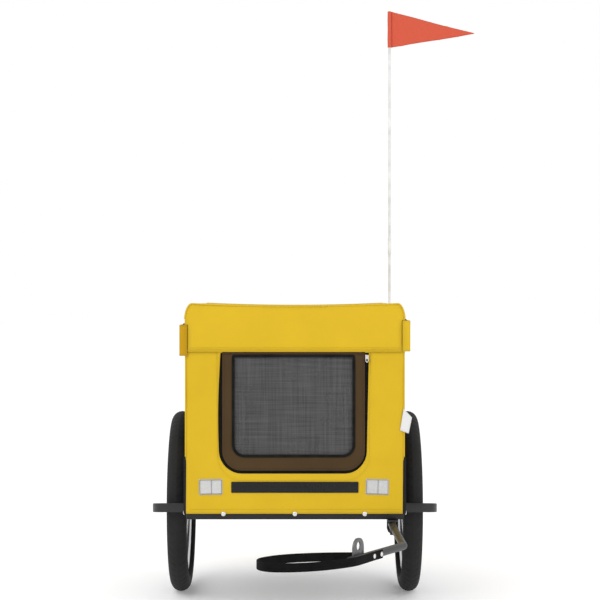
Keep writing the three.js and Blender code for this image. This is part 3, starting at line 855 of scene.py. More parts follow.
def add_front_wall():
    half = CABIN_HALF_X - 1
    outline = rounded_rect(-half, CABIN_BOTTOM, half, ROOF_SIDE_Z + 32, 0, 16)
    outline = [(lower_taper(x, z), z) for x, z in resampled(outline, 12)]
    cloth("front_wall_cloth", outline, [door_opening()], front_at(CABIN_FRONT), FRONT,
          ["yellow", "lining"], "chassis", "yellow", "front_wall", wave=WALL_WAVE, seed=WALL_SEED,
          step=7, extra=lambda u, v: -0.008 * max(0, abs(u) - 214) ** 2)
    for side, sign in (("left", 1), ("right", -1)):
        edge = [(sign * (half - 0.6), CABIN_FRONT + 1.6, z) for z in range(SKIRT_TOP, ROOF_SIDE_Z, 12)]
        fabric(sweep_object(f"front_corner_piping_{side}", edge, round_section(1.5, 10), REAR,
                            "yellow"), "chassis", "yellow")
        inner, outer = sorted((sign * (half - 8), sign * (CABIN_HALF_X + 2.6)))
        strip = panel(f"lower_side_edge_{side}", rounded_rect(inner, CABIN_BOTTOM, outer, SKIRT_TOP, 0),
                      [], front_at(CABIN_FRONT + 2.6), FRONT, ["black_cloth", "black_cloth"],
                      thickness=1.2, wave=0.5, seed=9, step=6)
        fabric(strip, "chassis", "black_cloth")
    header = panel("door_header_band", rounded_rect(-DOOR_HALF_X + DOOR_X, DOOR_TOP - 1,
                                                    DOOR_HALF_X + DOOR_X, DOOR_TOP + 14, 0),
                   [], front_at(CABIN_FRONT - 0.6), FRONT, ["brown_cloth", "lining"],
                   thickness=1.2, wave=0.4, seed=WALL_SEED, step=6)
    fabric(header, "chassis", "brown_cloth")
    hem = [(x, CABIN_FRONT - 0.5, CABIN_BOTTOM + 9) for x in range(-216, 217, 8)]
    stitches("front_hem_stitches", hem, FRONT, "chassis")
    for side, sign in (("left", 1), ("right", -1)):
        around = arc(sign * 105 + DOOR_X, DOOR_BOTTOM + 30, 50, 270, 270 + sign * 90, 14)
        line = [around[0], *around[1:], (around[-1][0] + sign * 2, DOOR_TOP)]
        stitches(f"door_surround_stitches_{side}",
                 offset_path(resampled(line, 6, closed=False), CABIN_FRONT - 0.5), FRONT, "chassis")
    bottom = [(x + DOOR_X, CABIN_FRONT - 0.5, DOOR_BOTTOM - 20) for x in range(-105, 106, 6)]
    stitches("door_surround_stitches_bottom", bottom, FRONT, "chassis")


EAR_INNER_X = 219.8
CURTAIN_TALL = 63
CURTAIN_TOP = {"left": 607, "right": 598}


def flap_outline():
    """Roof shape whose lower part is narrowed beside the ends of the side curtains."""
    half = EAR_INNER_X - 1.2
    over = [(x, z) for x, z in reversed(ROOF_LINE) if z > CURTAIN_TOP["left"] + 1]
    left = [(half, FLAP_BOTTOM), (half, CURTAIN_TOP["left"] + 0.5),
            (CABIN_HALF_X, CURTAIN_TOP["left"] + 0.5)]
    right = [(-CABIN_HALF_X, CURTAIN_TOP["right"] + 0.5), (-half, CURTAIN_TOP["right"] + 0.5),
             (-half, FLAP_BOTTOM)]
    return left + over + right


def add_front_flap():
    cloth("front_flap_cloth", flap_outline(), [], front_at(FLAP_FRONT), FRONT, ["yellow", "lining"],
          "flap", "yellow", "front_flap", thickness=1.8, wave=0.8, seed=8, held="hung",
          extra=lambda u, v: 0.9 * math.exp(-((v - FLAP_BOTTOM - 4) / 4) ** 2))
    for rise in (4, 8.5):
        line = [(x, FLAP_FRONT - 0.6, FLAP_BOTTOM + rise) for x in range(-216, 217, 8)]
        stitches(f"flap_hem_stitches_{rise:.0f}", line, FRONT, "flap")
    top = [(x, FLAP_FRONT + 0.6, z - 0.6) for x, z in ROOF_LINE if z > ROOF_SIDE_Z + 8]
    rim = sweep_object("flap_top_piping", top, round_section(1.5, 10), REAR, "yellow")
    fabric(rim, "flap", "yellow")


DOOR_HEM = 1.8  # how far the door's cloth reaches into the mesh opening, under the piping
DOOR_PIPING_WIDTH = 5.4


def mesh_opening(grow=0.0):
    return rounded_rect(-MESH_HALF_X - grow, MESH_BOTTOM - grow, MESH_HALF_X + grow,
                        DOOR_TOP - 6 + min(grow, 3), MESH_CORNER_R + grow, 2)


def door_at(y):
    return lambda u, v: (u + DOOR_X, y, v)


def add_door():
    outline = rounded_rect(-DOOR_HALF_X, DOOR_BOTTOM, DOOR_HALF_X, DOOR_TOP, DOOR_CORNER_R, 0)
    cloth("door_frame_cloth", outline, [mesh_opening(-DOOR_HEM)], door_at(CABIN_FRONT), FRONT,
          ["brown_cloth", "lining"], "door", "brown_cloth", "door_frame", wave=0.9, seed=WALL_SEED, step=6)
    cloth("door_mesh_cloth", mesh_opening(5), [], door_at(CABIN_FRONT + 2.6), FRONT,
          ["mesh", "mesh"], "door", "mesh", "door_mesh", thickness=0.6, wave=1.2, seed=11)
    trim = []
    for x, z in resampled(mesh_opening(DOOR_PIPING_WIDTH / 2 - DOOR_HEM), 7):
        sunk = min(max((z - DOOR_TOP + 16) / 8, 0), 1)
        trim.append((x + DOOR_X, CABIN_FRONT - 0.4 + 1.3 * sunk, z))
    section = flat_section(DOOR_PIPING_WIDTH, 1.8)
    fabric(sweep_object("door_mesh_piping", trim, section, REAR, "piping", closed=True),
           "door", "black_cloth")
    half, low, r = DOOR_HALF_X - 4, DOOR_BOTTOM + 4, DOOR_CORNER_R - 4
    top = DOOR_TOP - 11
    hem = [(-half, top)] + arc(-half + r, low + r, r, 180, 270, 12)
    hem += arc(half - r, low + r, r, 270, 360, 12) + [(half, top)]
    line = [(x + DOOR_X, CABIN_FRONT - 0.5, z) for x, z in resampled(hem, 6, closed=False)]
    stitches("door_edge_stitches", line, FRONT, "door", "brown_cloth", "brown_cloth")


def flat_section(width, height, corner=0.5):
    """Rounded rectangle section, width sideways and height along the up axis."""
    return rounded_rect(-width / 2, -height / 2, width / 2, height / 2, corner)


def zip_line():
    """Middle of the door's zip, down one side, round the bottom and up the other."""
    x, low, r = DOOR_HALF_X + 2.5, DOOR_BOTTOM - 3, DOOR_CORNER_R + 2.5
    line = [(-x, DOOR_TOP - 2)] + arc(-x + r, low + r, r, 180, 270, 16)
    line += arc(x - r, low + r, r, 270, 360, 16) + [(x, DOOR_TOP - 2)]
    return [(x + DOOR_X, z) for x, z in line]


def add_door_zip():
    reach = OPENING_MARGIN + 8
    outer = rounded_rect(-DOOR_HALF_X - reach, DOOR_BOTTOM - reach, DOOR_HALF_X + reach, DOOR_TOP,
                         DOOR_CORNER_R + reach, 0)
    inner = rounded_rect(-DOOR_HALF_X + 6, DOOR_BOTTOM + 6, DOOR_HALF_X - 6, DOOR_TOP - 2,
                         DOOR_CORNER_R - 6, 0)
    tape = panel("zip_tape_cloth", outer, [inner], front_at(CABIN_FRONT + CLOTH + 0.3), FRONT,
                 ["piping", "piping"], thickness=0.8, wave=0.6, seed=WALL_SEED, step=7)
    fabric(tape, "chassis", "black_cloth", "door_zip")
    line = [(x, CABIN_FRONT + 1.6, z) for x, z in resampled(zip_line(), 4, closed=False)]
    teeth = [(p, along.cross(Vector(FRONT)), Vector(FRONT)) for p, along in spaced(line, 1.9)]
    fabric(beads("zip_teeth", teeth, (4.4, 1.1, 1.3), "black_plastic"), "chassis", "black_cloth")


def block(name, x, y, z, material, corner):
    """A box between ranges with rounded edges."""
    vertices = [(a, b, c) for a in x for b in y for c in z]
    faces = [(0, 1, 3, 2), (4, 6, 7, 5), (0, 4, 5, 1), (2, 3, 7, 6), (0, 2, 6, 4), (1, 5, 7, 3)]
    made = new_object(name, vertices, faces, [material])
    face_outward(made)
    bevelled(made, corner, 3)
    return made


def add_zip_slider():
    x, y, top = DOOR_HALF_X + 4 + DOOR_X, CABIN_FRONT, 537
    body = block("slider_body", (x - 3.6, x + 3.6), (y - 2.2, y + 0.4), (top - 9, top), "steel",
                 0.9)
    bridge = sweep_object("slider_bridge", bent([(x, y - 1.6, top - 1.5), (x, y - 3.4, top - 2.5),
                                                 (x, y - 3.4, top - 6.5), (x, y - 1.6, top - 7.5)], 0.8, 4),
                          flat_section(1.8, 0.9, 0.3), (1, 0, 0), "steel")
    loop = [(x + 2.6 * math.cos(a) * (1 if abs(math.sin(a)) < 0.99 else 0.9),
             y - 3.1, top - 10.5 + 4.5 * math.sin(a)) for a in
            (2 * math.pi * i / 28 for i in range(28))]
    tab = sweep_object("slider_tab", loop, flat_section(1.6, 1.1, 0.35), FRONT, "steel",
                       closed=True)
    fabric(merge("zip_slider_finished", [body, bridge, tab]), "slider", "black_metal", "zip_slider")


def window_mesh(window):
    """Outline of the mesh behind a window, larger than its opening all round."""
    x0, z0, x1, z1 = window
    over = WINDOW_OVERLAP
    return rounded_rect(x0 - over, z0 - over, x1 + over, z1 + over, WINDOW_CORNER_R + 4)


def add_rear_wall():
    half = CABIN_HALF_X - CLOTH - 0.3
    outline = rounded_rect(-half, CABIN_BOTTOM, half, ROOF_SIDE_Z + 32, 0, 24)
    window = rounded_rect(*REAR_WINDOW, WINDOW_CORNER_R)

    def place(u, v):
        return -u, CABIN_REAR, v

    def behind(u, v):
        return -u, CABIN_REAR - CLOTH - 0.4, v

    cloth("rear_wall_cloth", outline, [window], place, REAR, ["yellow", "lining"], "chassis",
          "yellow", "rear_wall", wave=WALL_WAVE, seed=14)
    cloth("rear_window_cloth", window_mesh(REAR_WINDOW), [], behind, REAR,
          ["mesh", "mesh"], "chassis", "mesh", "rear_window_mesh", thickness=0.6, wave=0.9, seed=15)
    trim = [(x, CABIN_REAR + 0.2, z) for x, z in resampled(window, 8)]
    fabric(sweep_object("rear_window_piping", trim, flat_section(5, 1.8), REAR, "piping", closed=True),
           "chassis", "black_cloth")
    hem = [(x, CABIN_REAR + 0.3, CABIN_BOTTOM + 9) for x in range(-218, 219, 8)]
    stitches("rear_hem_stitches", hem, REAR, "chassis")
    top = [(x, CABIN_REAR + 0.2, z - 1.2) for x, z in ROOF_LINE]
    fabric(sweep_object("rear_roof_piping", top, round_section(1.8, 10), REAR, "yellow"),
           "chassis", "yellow")


def add_side_fabric(side, sign):
    def outer(x):
        return lambda u, v: (sign * x, sign * u, v)

    def mirror(loop):
        """The outline in this side's own u, which runs so that the face looks outward."""
        return loop if sign > 0 else [(-u, v) for u, v in reversed(loop)]

    outward = (sign, 0, 0)
    window = rounded_rect(*SIDE_WINDOW, WINDOW_CORNER_R)
    outline = rounded_rect(CABIN_FRONT + 3, SIDE_WALL_FOOT, CABIN_REAR - 3, ROOF_SIDE_Z + 6, 0)
    cloth(f"side_wall_cloth_{side}", mirror(outline), [mirror(window)], outer(CABIN_HALF_X - 1.8),
          outward, ["yellow", "lining"], "chassis", "yellow", f"side_wall_{side}", thickness=1.2,
          wave=0.7, seed=20 + sign, step=10)
    cloth(f"side_window_cloth_{side}", mirror(window_mesh(SIDE_WINDOW)), [],
          outer(CABIN_HALF_X - CLOTH - 1.4), outward, ["mesh", "mesh"], "chassis", "mesh",
          f"side_window_mesh_{side}", thickness=0.6, wave=0.9, seed=24 + sign)
    trim = [(sign * (CABIN_HALF_X - 0.8), u, v) for u, v in resampled(window, 8)]
    fabric(sweep_object(f"side_window_piping_{side}", trim, flat_section(5, 1.6), (1, 0, 0), "piping",
                        closed=True), "chassis", "black_cloth")
    skirt = [
        (-336, CABIN_BOTTOM), (-238, CABIN_BOTTOM), (-238, 224), (-190, 224), (-190, CABIN_BOTTOM),
        (300, CABIN_BOTTOM), (300, SKIRT_TOP), (-336, SKIRT_TOP),
    ]
    cloth(f"lower_side_cloth_{side}", mirror(skirt), [], outer(CABIN_HALF_X + 1.8), outward,
          ["black_cloth", "lining"], "chassis", "black_cloth", f"lower_side_panel_{side}",
          thickness=1.2, wave=0.7, seed=28 + sign, step=10)
    for height in (CABIN_BOTTOM + 6, SKIRT_TOP - 5):
        spans = ((-332, -242), (-186, 296)) if height < 230 else ((-332, 296),)
        for first, last in spans:
            line = [(sign * (CABIN_HALF_X + 2), y, height) for y in range(first, last, 8)]
            stitches(f"lower_side_stitches_{side}_{height}_{last}", line, outward, "chassis",
                     "black_cloth", "black_cloth")


CURTAIN_LAYERS = 3
CURTAIN_SPAN = (-338, 270)
CURTAIN_LEAN = math.radians(2.2)  # the angle of the curtain's lean axis, which add_curtain() passes to fabric()
CURTAIN_FORWARD = 0.0145  # the forward tilt of that lean axis
CURTAIN_OUTER_X = 236
CURTAIN_BANDS = (-210, 180)


def add_curtain(side, sign):
    """A side curtain folded up under the roof's edge; its outer layer laps round the corner."""
    lean = Vector((sign * math.sin(CURTAIN_LEAN), CURTAIN_FORWARD, math.cos(CURTAIN_LEAN)))
    lean = tuple(lean.normalized())
    top, inner = CURTAIN_TOP[side], CABIN_HALF_X + 0.8
    steps, rows = 12, 72
    pitch = (CURTAIN_OUTER_X - 2.5 - inner) / CURTAIN_LAYERS
    centre = []
    for layer in range(CURTAIN_LAYERS):
        x = inner + pitch * (layer + 0.4)
        low, high = top - CURTAIN_TALL + 2 + layer, top - 1.5 * layer - 1
        ends = (high, low) if layer % 2 == 0 else (low, high)
        centre += [(x, ends[0] + (ends[1] - ends[0]) * i / steps) for i in range(steps + 1)]
    vertices, faces = [], []
    first, last = CURTAIN_SPAN
    for row in range(rows + 1):
        y = first + (last - first) * row / rows
        for index, (x, z) in enumerate(centre):
            p = Vector((index * 0.11, y * 0.02, sign * 7))
            vertices.append((sign * (x + 0.4 * noise.noise(p)), y, z + 1.5 * noise.noise(p * 1.3)))
    size = len(centre)
    for row in range(rows):
        for i in range(size - 1):
            a = row * size + i
            faces.append((a, a + 1, a + 1 + size, a + size))
    made = new_object(f"side_curtain_cloth_{side}", vertices, faces, ["yellow"], smooth=75)
    solid = made.modifiers.new("thickness", "SOLIDIFY")
    solid.thickness = 1.1 * MM
    solid.offset = 0
    apply_modifiers(made)
    fabric(made, "chassis", "yellow", f"side_curtain_{side}", axis=lean)

    front = FLAP_FRONT - 0.4
    corner = bent([(sign * EAR_INNER_X, front, 0), (sign * (CURTAIN_OUTER_X - 0.6), front, 0),
                   (sign * (CURTAIN_OUTER_X - 0.6), last, 0)], 2.4, 8)
    line = [tuple(p) for p in corner[:-1]]
    line += [(sign * (CURTAIN_OUTER_X - 0.6), y, 0) for y in range(int(front) + 10, last + 1, 10)]
    vertices, faces, tall = [], [], 10
    for x, y, _ in line:
        for j in range(tall + 1):
            z = top - CURTAIN_TALL + CURTAIN_TALL * j / tall
            sway = 0.7 * noise.noise(Vector((y * 0.02, z * 0.05, sign * 3))) if y > front + 5 else 0
            vertices.append((x - sign * max(0, sway), y, z))
    for i in range(len(line) - 1):
        for j in range(tall):
            a = i * (tall + 1) + j
            faces.append((a, a + 1, a + tall + 2, a + tall + 1))
    wrap = new_object(f"side_curtain_wrap_{side}", vertices, faces, ["yellow", "yellow_painted_shade"], smooth=60)
    # The -X ear's front lap gets the darker yellow, which is painted shade; the +X ear and the rest of the
    # wrap stay plain yellow.
    for face in wrap.data.polygons:
        on_ear = face.center.y < at(0, FLAP_FRONT + 1, 0).y
        face.material_index = 1 if on_ear and sign < 0 else 0
    solid = wrap.modifiers.new("thickness", "SOLIDIFY")
    solid.thickness = 1.1 * MM
    solid.offset = 0
    apply_modifiers(wrap)
    fabric(wrap, "chassis", "yellow", axis=lean)
    for number, y in enumerate(CURTAIN_BANDS):
        low, high = top - CURTAIN_TALL - 1.2, top + 1.2
        loop = [(sign * (inner - 1), y, high), (sign * (CURTAIN_OUTER_X + 0.8), y, high),
                (sign * (CURTAIN_OUTER_X + 0.8), y, low), (sign * (inner - 1), y, low)]
        ring = sweep_object(f"curtain_band_{side}_{number}", rounded_loop(loop, 3.0),
                            flat_section(1.2, 9, 0.4), (0, 1, 0), "piping", closed=True)
        fabric(ring, "chassis", "black_cloth", axis=lean)


def rounded_loop(corners, radius, steps=6):
    """A closed loop through corners, each turned with that radius."""
    points = [Vector(c) for c in corners]
    line = []
    for i, corner in enumerate(points):
        before, after = points[i - 1], points[(i + 1) % len(points)]
        line += bent([before, corner, after], radius, steps)[1:-1]
    return line


def add_front_patches():
    """The hook-and-loop strip, the two reflective patches, the snap studs and the blank tag."""
    strip = panel("loop_strip", rounded_rect(*LOOP_STRIP, 1.5), [], front_at(CABIN_FRONT),
                  FRONT, ["loop", "loop"], thickness=1.2, wave=WALL_WAVE, seed=WALL_SEED, above=1.3)
    fabric(strip, "chassis", "black_cloth")
    for name, x0, x1, lean in (("right", -196, -148, 0.015), ("left", 145, 192, -0.02)):
        middle = (x0 + x1) / 2
        half, tall = (x1 - x0) / 2, 16

        def place(u, v, middle=middle, lean=lean):
            return middle + u - v * lean, CABIN_FRONT, 267 + v + u * lean

        made = panel(f"reflective_patch_{name}", rounded_rect(-half, -tall, half, tall, 1.5), [], place,
                     FRONT, ["reflective", "reflective"], thickness=0.8, wave=WALL_WAVE,
                     seed=WALL_SEED, above=0.9, step=4)
        fabric(made, "chassis", "reflective")
        fold = [place(1.5, v) for v in range(-15, 16, 3)]
        edge = [place(u, v) for u, v in resampled(rounded_rect(-half + 1.5, 1.5 - tall, half - 1.5,
                                                               tall - 1.5, 1), 4)]
        lines = (
            ([(x, y - 1.2, z) for x, y, z in fold], False),
            ([(x, y - 1.0, z) for x, y, z in edge], True),
        )
        for number, (line, closed) in enumerate(lines):
            seam = sweep_object(f"reflective_seam_{name}_{number}", line, flat_section(1.0, 0.7, 0.3),
                                REAR, "grey_thread", closed=closed)
            fabric(seam, "chassis", "reflective")
    for number, x in enumerate((-146, 0, 143)):
        stud = lathe_object(f"snap_stud_{number}", dome(5, 2.4, 0), 24,
                            (x, CABIN_FRONT - 0.2, CABIN_BOTTOM), "y", "steel")
        fabric(stud, "chassis", "steel")
    for side, sign in (("left", 1), ("right", -1)):
        for number, y in enumerate((-330, -120, 100, 290)):
            stud = lathe_object(f"side_snap_stud_{side}_{number}", dome(5, 2.4, 0, sign), 24,
                                (sign * (CABIN_HALF_X + 1.6), y, CABIN_BOTTOM + 1.5), "x", "steel")
            fabric(stud, "chassis", "steel")
    corners = ((214.9, 382.5), (232.3, 376.4), (239.1, 409.1), (222.2, 427.4))

    def tag_place(u, v):
        """The tag hangs askew between four corners, its free edge curling forward."""
        low = Vector(corners[0]).lerp(Vector(corners[1]), u)
        high = Vector(corners[3]).lerp(Vector(corners[2]), u)
        x, z = low.lerp(high, v)
        return x, CABIN_FRONT - 1.6 - 2.5 * u * u, z

    tag = panel("blank_tag_cloth", rounded_rect(0, 0, 1, 1, 0.02), [], tag_place, FRONT, ["tag", "tag"],
                thickness=0.5, wave=0.3, seed=31, step=0.12)
    fabric(tag, "chassis", "white_plastic")


add_roof()
add_front_wall()
add_front_flap()
add_door()
add_door_zip()
add_zip_slider()
add_rear_wall()
add_front_patches()
for SIDE, SIGN in (("left", 1), ("right", -1)):
    add_side_fabric(SIDE, SIGN)
    add_curtain(SIDE, SIGN)


# Frame, hoops and base -----------------------------------------------------------------------

HOOP_X = 208.5
HOOP_R = 8
HOOP_PIVOT_Z = 345
HOOP_TOP_Z = 626
GUARD_Y = -222
GUARD_X = 298.5
GUARD_PLATE_X = 277


def add_hoop(name, node, body, y):
    foot = HOOP_PIVOT_Z - 9
    line = bent([(-HOOP_X, y, foot), (-HOOP_X, y, HOOP_TOP_Z), (HOOP_X, y, HOOP_TOP_Z),
                 (HOOP_X, y, foot)], 26, 14)
    tube = sweep_object(name, line, round_section(HOOP_R, 28), REAR, "black_metal")
    sleeves = [tube]
    for x in (-HOOP_X, HOOP_X):
        profile = [(HOOP_R - 0.2, 390), (HOOP_R + 0.5, 390.4), (HOOP_R + 0.5, 419.6), (HOOP_R - 0.2, 420)]
        sleeves.append(lathe_object(f"{name}_sleeve", profile, 28, (x, y, 0), "z", "black_plastic"))
    rigid(merge(name, sleeves), body, "black_metal", node)


def add_guard(side, sign):
    line = bent([(sign * 228, GUARD_Y, 210.5), (sign * GUARD_X, GUARD_Y, 210.5),
                 (sign * GUARD_X, 14, 181)], 32, 18)
    guard = flat_section(GUARD_THICK, GUARD_TALL, 2.2)
    bar = sweep_object(f"guard_bar_{side}", line, guard, (0, 0, 1), "guard_coat")
    low, high = sorted((sign * 222.5, sign * 232))
    tab = block(f"guard_tab_{side}", (low, high), (GUARD_Y - 4, GUARD_Y + 20), (201.2, 211.5),
                "black_metal", 1.2)
    low, high = sorted((sign * GUARD_PLATE_X, sign * (GUARD_PLATE_X + 3.5)))
    plate = block(f"guard_plate_{side}", (low, high), (-14, 14), (176, 213), "black_metal", 1.2)
    low, high = sorted((sign * GUARD_PLATE_X, sign * (GUARD_X - 2)))
    foot = block(f"guard_foot_{side}", (low, high), (-14, 13), (176, 188), "black_metal", 1.2)
    weld_line = [(sign * 232, GUARD_Y + 4 * math.cos(a), 210.5 + 9.5 * math.sin(a))
                 for a in (math.tau * i / 24 for i in range(24))]
    weld = sweep_object(f"guard_weld_{side}", weld_line, round_section(1.0, 8), (1, 0, 0),
                        "black_metal", closed=True)
    rigid(merge(f"wheel_guard_finished_{side}", [bar, tab, plate, foot, weld]), "chassis",
          "black_metal", f"wheel_guard_{side}")


add_hoop("hoop_front_tube", "hoop_front", "front_hoop", -326)
add_hoop("hoop_rear_tube", "hoop_rear", "rear_hoop", 296)
for SIDE, SIGN in (("left", 1), ("right", -1)):
    add_guard(SIDE, SIGN)

for NODE in ("front_rail", "rear_rail", "left_rail", "right_rail", "axle_crossbar"):
    refined(NODE, "rail_coat", "chassis", "black_metal", 2.2)
for END in ("front", "rear"):
    for SIDE in ("left", "right"):
        refined(f"corner_post_{END}_{SIDE}", "black_metal", "chassis", "black_metal", 0.8)
        refined(f"hinge_pin_{END}_{SIDE}", "steel", "chassis", "steel", 0.5)
        refined(f"lock_knob_{END}_{SIDE}", "black_plastic", f"knob_{END}_{SIDE}", "black_plastic", 0.8)
refined("floor_board", "board", "chassis", "board", 1.2)
refined("arm_bracket", "black_metal", "chassis", "black_metal", 0.8)
refined("arm_pivot_bolt", "grey_metal", "chassis", "steel", 0.6)
refined("arm_lock_pin", "black_plastic", "lock_pin", "black_plastic", 0.6)
refined("flag_socket", "black_plastic", "chassis", "black_plastic", 0.7)
for SIDE in ("left", "right"):
    refined(f"axle_{SIDE}", "steel", "chassis", "steel", 0.4)
    refined(f"axle_nut_{SIDE}", "steel", "chassis", "steel", 0.5)


# Floor mat, puffed up by a cloth simulation --------------------------------------------------

MAT_X = 190
MAT_Y = (-300, 270)
MAT_Z = (229.6, 247.6)
MAT_PUFF = 2.5


def add_floor_mat():
    mat = block("floor_mat_cloth", (-MAT_X + 3, MAT_X - 3), (MAT_Y[0] + 3, MAT_Y[1] - 3),
                (MAT_Z[0] + 0.6, MAT_Z[1] - 4), "black_cloth", 5)
    remesh = mat.modifiers.new("remesh", "REMESH")
    remesh.mode = "VOXEL"
    remesh.voxel_size = 6 * MM
    apply_modifiers(mat)
    rest = [v.co.copy() for v in mat.data.vertices]
    soft = mat.modifiers.new("cloth", "CLOTH")
    soft.settings.use_pressure = True
    soft.settings.uniform_pressure_force = 4
    soft.settings.effector_weights.gravity = 0
    soft.settings.quality = 4
    soft.point_cache.frame_start = 1
    soft.point_cache.frame_end = 20
    for number in range(1, 21):
        bpy.context.scene.frame_set(number)
    apply_modifiers(mat)
    bpy.context.scene.frame_set(1)
    for vertex, start in zip(mat.data.vertices, rest):
        moved = vertex.co - start
        moved.z = max(moved.z, 0) if start.z > at(0, 0, 236).z else 0
        vertex.co = start + moved * min(1, MAT_PUFF * MM / max(moved.length, 1e-9))
    fine = mat.modifiers.new("fine", "SUBSURF")
    fine.levels = 1
    apply_modifiers(mat)
    for vertex in mat.data.vertices:
        spot = (vertex.co - ORIGIN) / MM
        if spot.z > 240:
            channel = abs((spot.y + 300) % 95 - 47.5)
            vertex.co.z -= 2.2 * MM * math.exp(-((47.5 - channel) / 7) ** 2)
    smooth_by_angle(mat, 60)
    rigid(mat, "chassis", "black_cloth", "floor_mat")
    edge = rounded_rect(-MAT_X + 2, MAT_Y[0] + 2, MAT_X - 2, MAT_Y[1] - 2, 12)
    line = [(x, y, (MAT_Z[0] + MAT_Z[1]) / 2 - 1) for x, y in resampled(edge, 8)]
    rigid(sweep_object("floor_mat_piping", line, round_section(1.8, 10), (0, 0, 1), "piping", closed=True),
          "chassis", "black_cloth")


add_floor_mat()


# Wheels --------------------------------------------------------------------------------------

TYRE_HALF_W = 21.5
TREAD_BLOCKS = 64
SPOKE_PAIRS = 8


def tyre_profile():
    crown, middle = [], 178
    for i in range(41):
        angle = -0.35 + (math.pi + 0.7) * i / 40
        crown.append((middle + (WHEEL_R - middle) * math.sin(angle), -TYRE_HALF_W * math.cos(angle)))
    return [(164.5, -11)] + crown + [(164.5, 11)]


def tread_cut(angle, across):
    """Depth of the grooves between the tread's blocks at an angle round the tyre."""
    if abs(across) > 18:
        return 0
    turn = (angle / math.tau * TREAD_BLOCKS + 0.02 * abs(across)) % 1
    slot = max(0, 1 - abs(turn - 0.5) / 0.2)
    lines = max(max(0, 1 - abs(abs(across) - c) / 1.0) for c in (3.5, 10.5))
    fade = min(1, (18 - abs(across)) / 3)
    side_block = min(1, slot * 2) if abs(across) > 4 else 0
    return 0.9 * fade * max(side_block, lines)


def add_tyre(side, sign):
    profile = tyre_profile()
    segments = TREAD_BLOCKS * 8
    vertices, faces = lathed(profile, segments, (0, 0, 0), "x")
    size = len(profile)
    shaped = []
    for i, (x, y, z) in enumerate(vertices):
        angle = math.tau * (i // size) / segments
        r = profile[i % size][0]
        cut = tread_cut(angle, x) if r > 190 else 0
        ridge = 0.35 * max(0, math.sin(angle * 3 * TREAD_BLOCKS)) if 176 < r < 186 and abs(x) > 20 else 0
        scale = (r - cut) / r
        shaped.append((x * (1 - 0.01 * ridge) + sign * WHEEL_X, y * scale, z * scale + WHEEL_R))
    made = new_object(f"tyre_rubber_{side}", shaped, faces, ["tyre"], smooth=35)
    face_outward(made)
    rigid(made, f"wheel_{side}", "tyre", f"tyre_{side}")


def add_rim(side, sign):
    profile = [
        (163.9, -12.5), (163.9, -10.8), (160, -9.5), (157.5, -6), (157.5, 6), (160, 9.5),
        (163.9, 10.8), (163.9, 12.5), (161, 12.7), (155, 11.4), (151, 8.5), (149.2, 4),
        (149.2, -4), (151, -8.5), (155, -11.4), (161, -12.7),
    ]
    centre = (sign * WHEEL_X, 0, WHEEL_R)
    rim = lathe_object(f"rim_{side}_ring", profile, 128, centre, "x", "alloy", smooth=30)
    stem = [(0.01, 128), (1.6, 128), (2.6, 129), (2.6, 135), (2.0, 136), (2.2, 150), (0.01, 150)]
    valve = lathe_object(f"valve_{side}", [(r, WHEEL_R - w) for r, w in stem], 20,
                         (sign * WHEEL_X, 0, 0), "z", "black_plastic")
    rigid(merge(f"rim_finished_{side}", [rim, valve]), f"wheel_{side}", "alloy", f"rim_{side}")


def add_hub(side, sign):
    profile = [
        (5, -17.5), (9, -17.5), (11, -16.6), (22, -16.4), (22.6, -15.6), (22, -14.8), (13, -14),
        (10.5, -11), (9.6, 0), (10.5, 11), (13, 14), (22, 14.8), (22.6, 15.6), (22, 16.4),
        (11, 16.6), (9, 17.5), (5, 17.5),
    ]
    centre = (sign * WHEEL_X, 0, WHEEL_R)
    parts = [lathe_object(f"hub_{side}", profile, 56, centre, "x", "alloy", smooth=30)]
    count = 2 * SPOKE_PAIRS
    for i in range(count):
        flange = 15.6 if i % 2 else -15.6
        lead = 0.62 if (i // 2) % 2 else -0.62
        rim_angle = math.tau * (i + 0.5) / count
        hub_angle = rim_angle + lead
        inner = Vector((flange, 20 * math.cos(hub_angle), 20 * math.sin(hub_angle)))
        outer = Vector((flange * 0.12, 150.5 * math.cos(rim_angle), 150.5 * math.sin(rim_angle)))
        start, end = Vector(centre) + inner, Vector(centre) + outer
        parts.append(sweep_object(f"spoke_{side}_{i}", [start, start.lerp(end, 0.5), end],
                                  round_section(1.0, 10), (1, 0, 0), "steel"))
        near_rim = start.lerp(end, 0.9)
        parts.append(sweep_object(f"nipple_{side}_{i}", [near_rim, start.lerp(end, 0.95), end],
                                  round_section(2.0, 10), (1, 0, 0), "steel"))
    rigid(merge(f"hub_finished_{side}", parts), f"wheel_{side}", "steel", f"hub_and_spokes_{side}")


for SIDE, SIGN in (("left", 1), ("right", -1)):
    add_tyre(SIDE, SIGN)
    add_rim(SIDE, SIGN)
    add_hub(SIDE, SIGN)


# Tow arm, hitch plate and safety strap -------------------------------------------------------

ARM_R = 7.5
ARM_BEND = (203.5, -632)
ARM_END = (98, -822)
STRAP_WIDTH = 16
STRAP_THICKNESS = 2.4
STRAP_ROUTE = [
    (159, -730.7), (144.1, -757.5), (127.4, -790), (108.5, -824), (84, -850), (52, -874), (14, -891),
    (-24, -897), (-51, -888), (-65, -864), (-63, -839), (-49, -817), (-23, -795), (14, -779),
    (56, -770), (97, -767), (118, -769),
]
RUN = Vector((ARM_END[0] - ARM_BEND[0], ARM_END[1] - ARM_BEND[1], 0)).normalized()
OUTWARD = Vector((-RUN.y, RUN.x, 0))


